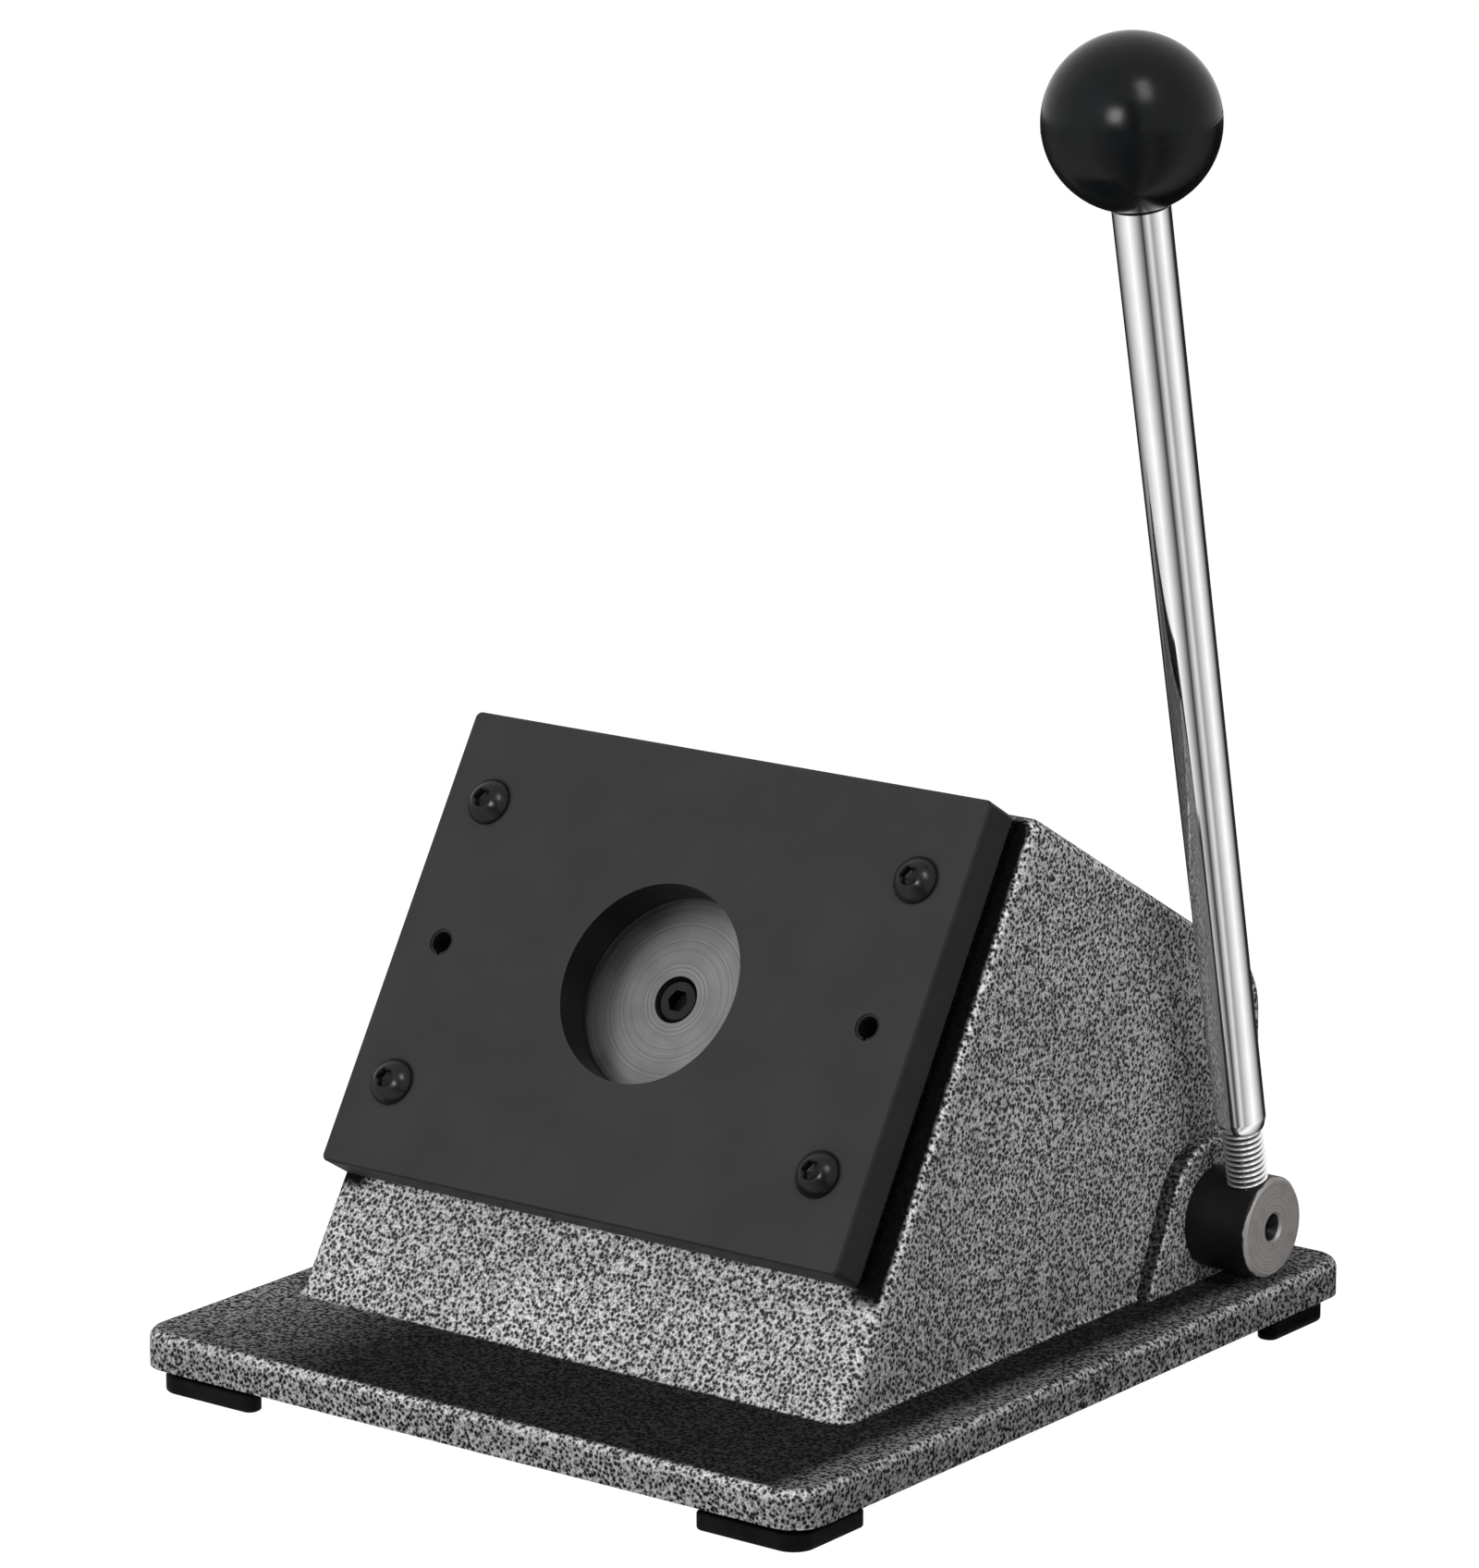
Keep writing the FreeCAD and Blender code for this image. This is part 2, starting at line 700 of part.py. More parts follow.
def make_return_spring():
    """Coil spring round the ram, as one wire that closes up over its end turns."""
    quarters = round(4 * spring_turns)
    room = spring_length - 2 * spring_wire_r - 2 * rest_gap
    open_pitch = (room - 2 * spring_end_pitch) / (spring_turns - 2)

    def pitch(turn):
        share = min(turn, spring_turns - turn) - 1 / 2
        return spring_end_pitch + (open_pitch - spring_end_pitch) * min(max(share, 0), 1)
    places = []
    ways = []
    height = pad_front + rest_gap + spring_wire_r
    for i in range(quarters + 1):
        turn = i / 4
        angle = 2 * math.pi * turn
        outward = X * math.cos(angle) + Y * math.sin(angle)
        forward = Y * math.cos(angle) - X * math.sin(angle)
        places.append(outward * spring_r + Z * height)
        ways.append((forward * (2 * math.pi * spring_r) + Z * pitch(turn)).normalize())
        height += pitch(turn + 1 / 8) / 4
    edges = []
    for i in range(quarters):
        edges += biarc(places[i], ways[i], places[i + 1], ways[i + 1])
    section = Part.Wire(Part.makeCircle(spring_wire_r, places[0], ways[0]))
    spring = Part.Wire(edges).makePipeShell([section], True, False)
    steps = [places[i].distanceToPoint(places[i + 4]) for i in range(quarters - 3)]
    print("return_spring least gap to itself", round(min(steps) - 2 * spring_wire_r, 2), "mm")
    return spring


def key_block(clear):
    """Block for the cam's key or, with a clearance, for its two keyways."""
    low = journal_r - key_depth - clear
    high = journal_r - key_depth + key_height + clear
    length = cam_width - 2 * key_end + 2 * clear
    block = slab(0, 0, length, key_width + 2 * clear, 0, low, high)
    turn = FreeCAD.Rotation(X, math.degrees(nose_angle) - 90)
    block.Placement = FreeCAD.Placement(shaft_middle, turn)
    return block


def make_lever_shaft():
    """Cross shaft with a head for the lever, a keyway for the cam and a groove for the ring."""
    shoulder = boss_face_right + face_gap
    waist_r = journal_r - ring_groove
    cone_end = shaft_end - (centre_cone_r - centre_hole_r) * math.sqrt(3)
    hole_end = shaft_end - centre_hole_depth
    shaft = turned([
        (0, shaft_left_end),
        (journal_r - head_chamfer, shaft_left_end),
        (journal_r, shaft_left_end + head_chamfer),
        (journal_r, ring_place - ring_thick),
        (waist_r, ring_place - ring_thick),
        (waist_r, ring_place),
        (journal_r, ring_place),
        (journal_r, shoulder),
        (head_r, shoulder),
        (head_r, shaft_end - head_chamfer),
        (head_r - head_chamfer, shaft_end),
        (centre_cone_r, shaft_end),
        (centre_hole_r, cone_end),
        (centre_hole_r, hole_end),
        (0, hole_end - centre_hole_r / 2),
    ])
    shaft.Placement = FreeCAD.Placement(FreeCAD.Vector(0, shaft_y, shaft_z), FreeCAD.Rotation(Z, X))
    lever_hole = on_lever(rod(lever_thread_r + seated, lever_seat, head_r + over))
    return shaft.cut(lever_hole).cut(key_block(seated))


def cam_outline():
    """Side view of the cam about the shaft's axis: flank, nose, straight back, heel and run-in."""
    flank_steps = 8
    step = (cam_last - cam_first) / flank_steps
    flank_points = [cam_flank(cam_first + step * i) for i in range(flank_steps + 1)]
    flank = Part.BSplineCurve()
    flank.interpolate(
        Points=flank_points,
        InitialTangent=cam_direction(cam_first - math.pi / 2),
        FinalTangent=cam_direction(cam_last - math.pi / 2),
    )
    back = nose_angle - math.acos((cam_base_r - cam_nose_r) / cam_nose.Length)
    nose_middle = cam_nose + cam_direction((cam_last + back) / 2) * cam_nose_r
    nose_end = cam_nose + cam_direction(back) * cam_nose_r
    heel_start = cam_direction(back) * cam_base_r
    low_lift = cam_flank(cam_first).dot(cam_direction(cam_first))
    spare = low_lift * low_lift + lift_rate * lift_rate - cam_base_r * cam_base_r
    run_in_r = spare / (2 * (low_lift - cam_base_r))
    run_in = cam_flank(cam_first) - cam_direction(cam_first) * run_in_r
    heel_angle = math.atan2(-run_in.z, -run_in.y)
    if heel_angle < cam_first:
        heel_angle += 2 * math.pi
    heel_middle = cam_direction((heel_angle + back) / 2 + math.pi) * cam_base_r
    heel_end = cam_direction(heel_angle) * cam_base_r
    run_in_middle = run_in + cam_direction((cam_first + heel_angle) / 2) * run_in_r
    return Part.Wire([
        flank.toShape(),
        Part.Arc(flank_points[-1], nose_middle, nose_end).toShape(),
        Part.LineSegment(nose_end, heel_start).toShape(),
        Part.Arc(heel_start, heel_middle, heel_end).toShape(),
        Part.Arc(heel_end, run_in_middle, flank_points[0]).toShape(),
    ])


def set_screw_bar(radius, end):
    """Bar through the cam's heel, square to the shaft, from the journal out to a given radius."""
    return rod(radius, journal_r + seated, end, shaft_middle, cam_direction(nose_angle + math.pi))


def make_cam():
    """Lobe on the cross shaft, with a keyway and a tapped hole."""
    outline = cam_outline()
    outline.translate(shaft_middle - X * (cam_width / 2))
    cam = Part.Face(outline).extrude(X * cam_width)
    cam = cam.cut(across(journal_r + seated, body_x - cam_width, body_x + cam_width))
    return cam.cut(key_block(seated)).cut(set_screw_bar(set_screw_r + seated, cam_base_r + over))


def make_cam_set_screw():
    """Grub screw that bears on the shaft through the cam's heel."""
    end = cam_base_r - set_screw_sink
    socket = hexagon(set_screw_key, end - set_screw_key_depth, end + over)
    turn = FreeCAD.Rotation(X, math.degrees(nose_angle) + 90)
    socket.Placement = FreeCAD.Placement(shaft_middle, turn)
    return set_screw_bar(set_screw_r, end).cut(socket)


def make_shaft_bush(left, right):
    """Bronze bearing of the cross shaft, in one of the casting's bosses."""
    return across(shaft_bush_r, left, right).cut(across(journal_r + running, left - over, right + over))


def make_thrust_washer():
    """Washer between the left boss and the retaining ring."""
    washer = across(journal_r + washer_rim, ring_place, ring_place + washer_thick)
    return washer.cut(across(journal_r + seated, ring_place - over, ring_place + washer_thick + over))


def make_retaining_ring():
    """Open ring that snaps into the groove at the shaft's left end."""
    left = ring_place - ring_thick
    ring = across(journal_r + ring_rim, left, ring_place)
    ring = ring.cut(across(journal_r - ring_groove + seated, left - over, ring_place + over))
    mouth = Part.makeBox(ring_thick + 2 * over, ring_gap, 2 * journal_r)
    mouth.translate(FreeCAD.Vector(left - over, shaft_y - ring_gap / 2, shaft_z - 2 * journal_r))
    return ring.cut(mouth)


def make_lever_rod():
    """Chromed rod: a thread at the shaft, a long slow taper and a stud at the knob."""
    return on_lever(turned([
        (0, lever_seat + face_gap),
        (lever_thread_r, lever_seat + face_gap),
        (lever_thread_r, rod_start),
        (rod_bottom_r - rod_chamfer_step, rod_start),
        (rod_bottom_r, rod_start + rod_chamfer),
        (rod_top_r, knob_flat - rod_top_chamfer),
        (rod_top_r - rod_top_chamfer, knob_flat),
        (knob_stud_r, knob_flat),
        (knob_stud_r, knob_flat + knob_stud_length),
        (0, knob_flat + knob_stud_length),
    ]))


def make_ball_knob():
    """Ball with a flat underneath and a bore for its threaded insert."""
    ball = Part.makeSphere(knob_r, Z * lever_reach)
    ball = ball.cut(rod(knob_r, lever_reach - knob_r - over, knob_flat))
    bore_r = knob_stud_r + insert_wall + seated
    return on_lever(ball.cut(rod(bore_r, knob_flat - over, knob_flat + insert_length + rest_gap)))


def make_knob_insert():
    """Brass thread moulded into the ball."""
    sleeve = rod(knob_stud_r + insert_wall, knob_flat, knob_flat + insert_length)
    bore = rod(knob_stud_r + seated, knob_flat - over, knob_flat + insert_length + over)
    return on_lever(sleeve.cut(bore))


def build():
    """All pieces of the machine by name."""
    nodes = {
        "cast_body": make_cast_body(),
        "guide_plate": on_press(make_guide_plate()),
        "left_spacer": on_press(make_spacer(-1)),
        "right_spacer": on_press(make_spacer(1)),
        "die_plate": on_press(make_die_plate()),
        "plate_screws": on_press(make_plate_screws()),
        "locating_pins": on_press(make_locating_pins()),
        "punch": on_press(make_punch()),
        "punch_screw": on_press(make_punch_screw()),
        "ram": on_press(make_ram()),
        "follower_pad": on_press(make_follower_pad()),
        "ram_bush": on_press(make_ram_bush()),
        "spring_seat": on_press(make_spring_seat()),
        "return_spring": on_press(make_return_spring()),
        "lever_shaft": make_lever_shaft(),
        "left_bush": make_shaft_bush(boss_face_left, boss_inner_left),
        "right_bush": make_shaft_bush(boss_inner_right, boss_face_right),
        "thrust_washer": make_thrust_washer(),
        "retaining_ring": make_retaining_ring(),
        "cam": make_cam(),
        "cam_key": key_block(0),
        "cam_set_screw": make_cam_set_screw(),
        "lever_rod": make_lever_rod(),
        "ball_knob": make_ball_knob(),
        "knob_insert": make_knob_insert(),
        "foot_screws": make_foot_screws(),
    }
    for name, place in foot_corners().items():
        nodes[name] = make_foot(*place)
    return nodes


os.makedirs("parts", exist_ok=True)
for name, shape in build().items():
    print(name, len(shape.Solids), "solid", round(shape.Volume / 1000, 2), "cm3", shape.isValid())
    shape.exportStep("parts/" + name + ".step")
print("shaft axis", [round(v, 3) for v in shaft_middle], "lever at x", round(lever_x, 3))
print("punch axis", [round(v, 5) for v in face_out], "through", [round(v, 3) for v in face_centre])
print("stroke", round(stroke, 3), "mm, lift", round(lift_rate, 4), "mm per radian")
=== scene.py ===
# %% [markdown]
# # Dressing a lever disc cutter
# The CAD model already holds every piece of the machine in its place, on the body that moves it.
# This lesson gives those pieces their finishes, and builds four of them again: the lever with its
# thread, the ball with its moulding line and the screws with their rounded sockets, because the
# CAD solids are plainer there, and the return spring, as one round wire.
# Everything is in metres, in the CAD model's own frame.

# %% Load the frame
import json
import math

import bpy
import numpy as np
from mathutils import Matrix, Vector


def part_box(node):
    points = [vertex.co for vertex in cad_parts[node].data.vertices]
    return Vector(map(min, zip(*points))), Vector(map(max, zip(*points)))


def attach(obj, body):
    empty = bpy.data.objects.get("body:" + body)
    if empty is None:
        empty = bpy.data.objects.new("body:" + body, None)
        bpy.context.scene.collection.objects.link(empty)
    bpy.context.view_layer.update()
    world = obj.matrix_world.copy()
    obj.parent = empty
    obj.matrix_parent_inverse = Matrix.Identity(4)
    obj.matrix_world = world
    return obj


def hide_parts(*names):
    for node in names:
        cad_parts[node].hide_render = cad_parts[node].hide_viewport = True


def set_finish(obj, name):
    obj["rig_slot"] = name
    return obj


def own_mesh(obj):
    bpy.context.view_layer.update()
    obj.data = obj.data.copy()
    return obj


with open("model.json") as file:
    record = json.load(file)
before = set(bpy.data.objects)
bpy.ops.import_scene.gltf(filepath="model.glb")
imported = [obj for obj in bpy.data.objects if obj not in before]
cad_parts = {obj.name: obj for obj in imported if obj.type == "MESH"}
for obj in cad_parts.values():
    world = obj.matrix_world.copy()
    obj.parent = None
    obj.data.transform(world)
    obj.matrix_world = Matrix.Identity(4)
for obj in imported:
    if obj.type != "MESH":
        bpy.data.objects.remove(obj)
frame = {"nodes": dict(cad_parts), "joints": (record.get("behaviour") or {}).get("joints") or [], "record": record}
nodes = frame["nodes"]
joints = {joint["name"]: joint for joint in frame["joints"]}
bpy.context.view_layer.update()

# %% [markdown]
# ## Where things are
# Two slanted axes carry nearly all that is made below. The punch slides square to the sloping
# face, and the lever stands on the cross shaft. Both are measured from the CAD pieces, so that
# the new pieces sit where those do.


# %% Measure the press axis and the lever axis
def corners_of(node):
    """Every vertex of a CAD piece as an array of points."""
    mesh = nodes[node].data
    flat = np.empty(3 * len(mesh.vertices))
    mesh.vertices.foreach_get("co", flat)
    return flat.reshape(-1, 3)


def axes_along(direction):
    """Three square axes as rows: X, the one square to X and the direction, and the direction."""
    along = np.asarray(direction) / np.linalg.norm(direction)
    across = np.array([1.0, 0.0, 0.0])
    return np.stack([across, np.cross(along, across), along])


# The punch's middle lies this far along the press axis from the casting's face.
PUNCH_MIDDLE = -0.0053
press_axes = axes_along(joints["punch_slide"]["axis"])
punch_low, punch_high = (np.array(corner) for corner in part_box("punch"))
press_origin = (punch_low + punch_high) / 2 - PUNCH_MIDDLE * press_axes[2]

BALL_R = 0.025
ball_low, ball_high = (np.array(corner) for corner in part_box("ball_knob"))
ball_centre = np.append((ball_low + ball_high)[:2] / 2, ball_high[2] - BALL_R)
hub_centre = np.array(joints["lever_turn"]["pos_m"])
hub_centre[0] = ball_centre[0]
lever_reach = np.linalg.norm(ball_centre - hub_centre)
lever_axes = axes_along(ball_centre - hub_centre)
print("press origin", press_origin.round(4), "lever reach", round(float(lever_reach), 4))


def on_press(local):
    """Points counted along the press axes, from the middle of the casting's face."""
    return press_origin + local @ press_axes


def on_lever(local):
    """Points counted along the lever, from the cross shaft's axis."""
    return hub_centre + local @ lever_axes


# %% [markdown]
# ## Rings into meshes
# A thread, a ball, a screw and a spring are all the same kind of surface: a stack of closed
# rings. One grid of points, rings by columns, becomes quads, and a fan closes each end. Whole
# arrays are worked out at once, which is quicker to run and easier to read than a loop.


# %% Build a piece from rings
def rings(radius, height, columns):
    """Rings about an axis: radius times the cosine and sine of the turn, at each height."""
    turn = 2 * math.pi * np.arange(columns) / columns
    radius, height, turn = np.broadcast_arrays(radius, height, turn)
    return np.stack([radius * np.cos(turn), radius * np.sin(turn), height], axis=-1)


def ring_faces(rows, columns, first):
    """Quads between neighbouring rings, and a fan from each end ring to its own middle."""
    index = first + np.arange(rows * columns).reshape(rows, columns)
    right = np.roll(index, -1, axis=1)
    quads = np.stack([index[:-1], right[:-1], right[1:], index[1:]], axis=-1).reshape(-1, 4)
    low = np.full(columns, first + rows * columns)
    start_fan = np.stack([right[0], index[0], low], axis=-1)
    end_fan = np.stack([index[-1], right[-1], low + 1], axis=-1)
    return quads.tolist() + start_fan.tolist() + end_fan.tolist()


def ring_piece(name, grids, sharp_degrees=35):
    """Mesh object made of one or more closed stacks of rings, smooth except at sharp corners."""
    points = []
    faces = []
    count = 0
    for grid in grids:
        rows, columns, _ = grid.shape
        faces += ring_faces(rows, columns, count)
        points += [grid.reshape(-1, 3), grid[:1].mean(axis=1), grid[-1:].mean(axis=1)]
        count += rows * columns + 2
    mesh = bpy.data.meshes.new(name)
    mesh.from_pydata(np.concatenate(points).tolist(), [], faces)
    mesh.polygons.foreach_set("use_smooth", np.ones(len(faces), dtype=bool))
    mesh.set_sharp_from_angle(angle=math.radians(sharp_degrees))
    piece = bpy.data.objects.new(name, mesh)
    bpy.context.scene.collection.objects.link(piece)
    print(name, "has", len(faces), "faces")
    return piece


# %% [markdown]
# ## The lever rod and its thread
# The real lever is a chromed bar, a little thicker at the top, with an M12 thread cut on its foot.
# A thread could be a swept triangle, but it is also just a radius that depends on height and turn:
# the ridge climbs one pitch in one turn. So the whole rod is one stack of rings.

# %% Make the lever rod
THREAD_R = 0.006
THREAD_PITCH = 0.00175
THREAD_DEPTH = 0.00107
THREAD_ROOT_SHARE = 0.2
THREAD_FLANK_SHARE = 0.66
THREAD_ROWS = 240
ROD_COLUMNS = 96
ROD_START = 0.0315
BALL_FLAT_R = 0.009


def thread_radius(height, turn):
    """Root radius plus a ridge: a triangle wave of height over pitch less turn, cut flat."""
    phase = (height / THREAD_PITCH - turn) % 1.0
    wave = 1 - np.abs(2 * phase - 1)
    ridge = np.clip((wave - THREAD_ROOT_SHARE) / THREAD_FLANK_SHARE, 0, 1)
    return THREAD_R - THREAD_DEPTH + THREAD_DEPTH * ridge


rod_points = (corners_of("lever_rod") - hub_centre) @ lever_axes.T
thread_start = rod_points[:, 2].min()
rod_top = lever_reach - math.sqrt(BALL_R ** 2 - BALL_FLAT_R ** 2)
thread_height = np.linspace(thread_start, ROD_START, THREAD_ROWS)[:, None]
thread_turn = np.arange(ROD_COLUMNS)[None, :] / ROD_COLUMNS

# Radius and height of each ring above the thread: the foot and its chamfer, the tapered bar, and
# the spigot that goes up into the ball.
rod_profile = np.array([
    (0.0059, ROD_START),
    (0.0064, ROD_START),
    (0.0066, ROD_START + 0.0003),
    (0.0073, ROD_START + 0.0030),
    (0.00732, ROD_START + 0.0034),
    (0.00825, rod_top - 0.0008),
    (0.00745, rod_top),
    (0.0050, rod_top),
    (0.0050, rod_top + 0.0158),
])
rod_radius = np.concatenate([
    thread_radius(thread_height, thread_turn),
    np.repeat(rod_profile[:, :1], ROD_COLUMNS, axis=1),
])
rod_height = np.concatenate([thread_height, rod_profile[:, 1:]])
lever_bar = ring_piece("lever_bar", [on_lever(rings(rod_radius, rod_height, ROD_COLUMNS))])

# %% [markdown]
# ## The ball
# The ball is moulded in two halves, and a fine line of flash stays where they met. On a sphere
# that line is a small bump of the radius at the equator, so rings are packed closer there.

# %% Make the ball
BALL_COLUMNS = 128
BALL_ROWS = 90
BALL_HOLE_R = 0.0051
FLAT_CORNER = 0.0003
TOP_ANGLE = 0.03
EQUATOR = math.pi / 2
SEAM_HEIGHT = 0.00006
SEAM_ANGLE = 0.010
SEAM_ZONE = 0.04
SEAM_ROWS = 33
flat_angle = math.asin(BALL_FLAT_R / BALL_R)
even_rows = np.linspace(flat_angle, math.pi - TOP_ANGLE, BALL_ROWS)
seam_rows = np.linspace(-SEAM_ZONE, SEAM_ZONE, SEAM_ROWS) + EQUATOR
ball_angle = np.unique(np.concatenate([even_rows, seam_rows]))
from_seam = (ball_angle - EQUATOR) / SEAM_ANGLE
ball_swell = BALL_R - SEAM_HEIGHT + SEAM_HEIGHT * np.exp(-(from_seam ** 2))
ball_radius = np.concatenate([
    [BALL_HOLE_R, BALL_FLAT_R - FLAT_CORNER],
    ball_swell * np.sin(ball_angle),
])
ball_height = np.concatenate([
    [rod_top, rod_top],
    lever_reach - ball_swell * np.cos(ball_angle),
])
ball_rings = rings(ball_radius[:, None], ball_height[:, None], BALL_COLUMNS)
ball = ring_piece("ball", [on_lever(ball_rings)])

# %% [markdown]
# ## The plate screws
# Low round heads with a six-sided socket hold the plates. A socket is a ring whose radius follows
# a hexagon instead of a circle: half the width over flats, divided by the cosine of the turn
# from the nearest flat. The four places are measured from the CAD screws.

# %% Make the plate screws
SCREW_COLUMNS = 72
DOME_ROWS = 12
SHANK_R = 0.004
HEAD_R = 0.007
CROWN_R = 0.0032
RIM_HEIGHT = 0.0009
SOCKET_HALF_FLATS = 0.0025
SOCKET_DEPTH = 0.0026
PLATE_FRONT = 0.017


def screw_rings(profile):
    """Rings of (radius, height, share) rows, where the share fades a circle into a hexagon."""
    radius, height, share = (np.array(profile)[:, i:i + 1] for i in range(3))
    flat_turn = (np.arange(SCREW_COLUMNS) * 6 / SCREW_COLUMNS % 1 - 0.5) * math.pi / 3
    hexagon = radius / np.cos(flat_turn)[None, :]
    return rings(radius + (hexagon - radius) * share, height, SCREW_COLUMNS)


def button_profile(bottom, seat, top):
    """Shank, seat, short rim, dome and socket: the dome's radius and height share one circle."""
    rim = seat + RIM_HEIGHT
    rise = top - rim
    drop = (HEAD_R ** 2 - CROWN_R ** 2 - rise ** 2) / (2 * rise)
    dome_r = math.hypot(HEAD_R, drop)
    bend = np.linspace(math.atan2(drop, HEAD_R), math.atan2(drop + rise, CROWN_R), DOME_ROWS)
    dome_height = rim - drop + dome_r * np.sin(bend)
    dome = np.stack([dome_r * np.cos(bend), dome_height, 0 * bend], axis=-1)
    below = [
        (0.8 * SHANK_R, bottom, 0),
        (SHANK_R, bottom + 0.0008, 0),
        (SHANK_R, seat, 0),
        (HEAD_R - 0.0003, seat, 0),
        (HEAD_R, seat + 0.0002, 0),
    ]
    socket_floor = top - SOCKET_DEPTH
    socket = [
        (SOCKET_HALF_FLATS * 1.17, top, 0),
        (SOCKET_HALF_FLATS, top - 0.0004, 1),
        (SOCKET_HALF_FLATS, socket_floor, 1),
        (SOCKET_HALF_FLATS * 0.2, socket_floor - 0.0008, 1),
    ]
    return np.concatenate([below, dome, socket])


screw_points = (corners_of("plate_screws") - press_origin) @ press_axes.T
screw_low = screw_points.min(axis=0)
screw_high = screw_points.max(axis=0)
one_screw = screw_rings(button_profile(screw_low[2], PLATE_FRONT, screw_high[2]))
reach = (screw_high - screw_low)[:2] / 2 - HEAD_R
places = [(i * reach[0], j * reach[1], 0) for i in (-1, 1) for j in (-1, 1)]
button_screws = ring_piece("button_screws", [on_press(one_screw + place) for place in places])

# %% [markdown]
# ## The return spring
# The spring is one round wire. Its centre line is a helix whose pitch is small over the end turns
# and wide between them, so the height is the running sum of the pitch. Each ring of the wire lies
# square to that line, spanned by the outward direction and the one square to it.

# %% Make the return spring
SPRING_R = 0.024
WIRE_R = 0.002
SPRING_TURNS = 6
SPRING_ROWS = 360
WIRE_COLUMNS = 20
END_PITCH = 0.0046
CLOSED_TURN = 0.5
spring_points = (corners_of("return_spring") - press_origin) @ press_axes.T
spring_low = spring_points[:, 2].min() + WIRE_R
spring_high = spring_points[:, 2].max() - WIRE_R
turns = np.linspace(0, SPRING_TURNS, SPRING_ROWS)
open_share = np.clip(np.minimum(turns, SPRING_TURNS - turns) - CLOSED_TURN, 0, 1)
open_pitch = (spring_high - spring_low - 2 * END_PITCH) / (SPRING_TURNS - 2)
pitch = END_PITCH + (open_pitch - END_PITCH) * open_share
climb = np.concatenate([[0], np.cumsum((pitch[1:] + pitch[:-1]) / 2)])
climb = spring_low + (spring_high - spring_low) * climb / climb[-1]

angle = 2 * math.pi * turns
slope = np.arctan(pitch / (2 * math.pi * SPRING_R))
outward = np.stack([np.cos(angle), np.sin(angle), np.zeros(SPRING_ROWS)], axis=-1)
backward = np.stack([np.sin(angle), -np.cos(angle), np.zeros(SPRING_ROWS)], axis=-1)
straight_up = np.array([0, 0, 1])
upward = np.sin(slope)[:, None] * backward + np.cos(slope)[:, None] * straight_up
line = SPRING_R * outward + climb[:, None] * straight_up
section = 2 * math.pi * np.arange(WIRE_COLUMNS)[None, :, None] / WIRE_COLUMNS
round_wire = np.cos(section) * upward[:, None] + np.sin(section) * outward[:, None]
coil = ring_piece("coil_spring", [on_press(line[:, None] + WIRE_R * round_wire)])
print("spring from", round(float(spring_low), 4), "to", round(float(spring_high), 4))

# %% [markdown]
# ## Riding and replacing
# Each new piece moves with the body of the CAD piece that it stands for. The spring is held
# between the ram's pad, which moves, and a washer on the casting, which doesn't; here it rides on
# the casting and gets a mesh of its own.

# %% Put the pieces on their bodies
for piece, node, body, slot in [
    (lever_bar, "lever_rod", "lever", "chrome"),
    (ball, "ball_knob", "lever", "black_ball"),
    (button_screws, "plate_screws", "machine", "black_screw"),
    (coil, "return_spring", "machine", "spring_steel"),
]:
    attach(piece, body)
    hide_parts(node)
    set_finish(piece, slot)

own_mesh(coil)

# %% [markdown]
# ## A small kit for finishes
# Every finish below is a Principled shader fed by patterns on Object coordinates. These helpers
# only save typing: one adds a node and wires it, the others add a noise, a ramp or a bump.


# %% Helpers that start a finish and add a node
def start_finish(name, **constants):
    """New material, its node tree, its shader with these constants, and Object coordinates."""
    material = bpy.data.materials.new(name)
    material.use_nodes = True
    tree = material.node_tree
    shader = tree.nodes["Principled BSDF"]
    for socket, value in constants.items():
        shader.inputs[socket.replace("_", " ")].default_value = value
    place = tree.nodes.new("ShaderNodeTexCoord").outputs["Object"]
    return material, tree, shader, place


def add(tree, kind, inputs, **settings):
    """New node with its settings. Each input is a number, a colour or another node's output."""
    made = tree.nodes.new(kind)
    for key, value in settings.items():
        setattr(made, key, value)
    for key, value in inputs.items():
        if isinstance(value, bpy.types.NodeSocket):
            tree.links.new(value, made.inputs[key])
        else:
            made.inputs[key].default_value = value
    return made


finishes = {}


# %% Helpers for numbers and colours
def number(tree, operation, first, second=0.0):
    """Result of one step of arithmetic."""
    return add(tree, "ShaderNodeMath", {0: first, 1: second}, operation=operation).outputs[0]


def product(tree, *values):
    """All the values multiplied together."""
    result = values[0]
    for value in values[1:]:
        result = number(tree, "MULTIPLY", result, value)
    return result


def vectors(tree, operation, inputs):
    """Node for one step of arithmetic on vectors."""
    return add(tree, "ShaderNodeVectorMath", inputs, operation=operation)


def span(tree, value, low, high, start=0.0, end=1.0):
    """Value taken smoothly from one range into another, held at its ends."""
    inputs = {"Value": value, 1: low, 2: high, 3: start, 4: end}
    return add(tree, "ShaderNodeMapRange", inputs, interpolation_type="SMOOTHSTEP").outputs[0]


def ramp(tree, value, *stops):
    """Colour that follows a value through (place, grey or colour) stops."""
    made = add(tree, "ShaderNodeValToRGB", {"Fac": value})
    slots = made.color_ramp.elements
    while len(slots) < len(stops):
        slots.new(0.5)
    for slot, (where, tone) in zip(slots, stops):
        slot.position = where
        slot.color = (*tone, 1) if isinstance(tone, tuple) else (tone, tone, tone, 1)
    return made.outputs["Color"]


def blend(tree, share, first, second):
    """Colour between two colours."""
    inputs = {0: share, 6: first, 7: second}
    return add(tree, "ShaderNodeMix", inputs, data_type="RGBA").outputs[2]


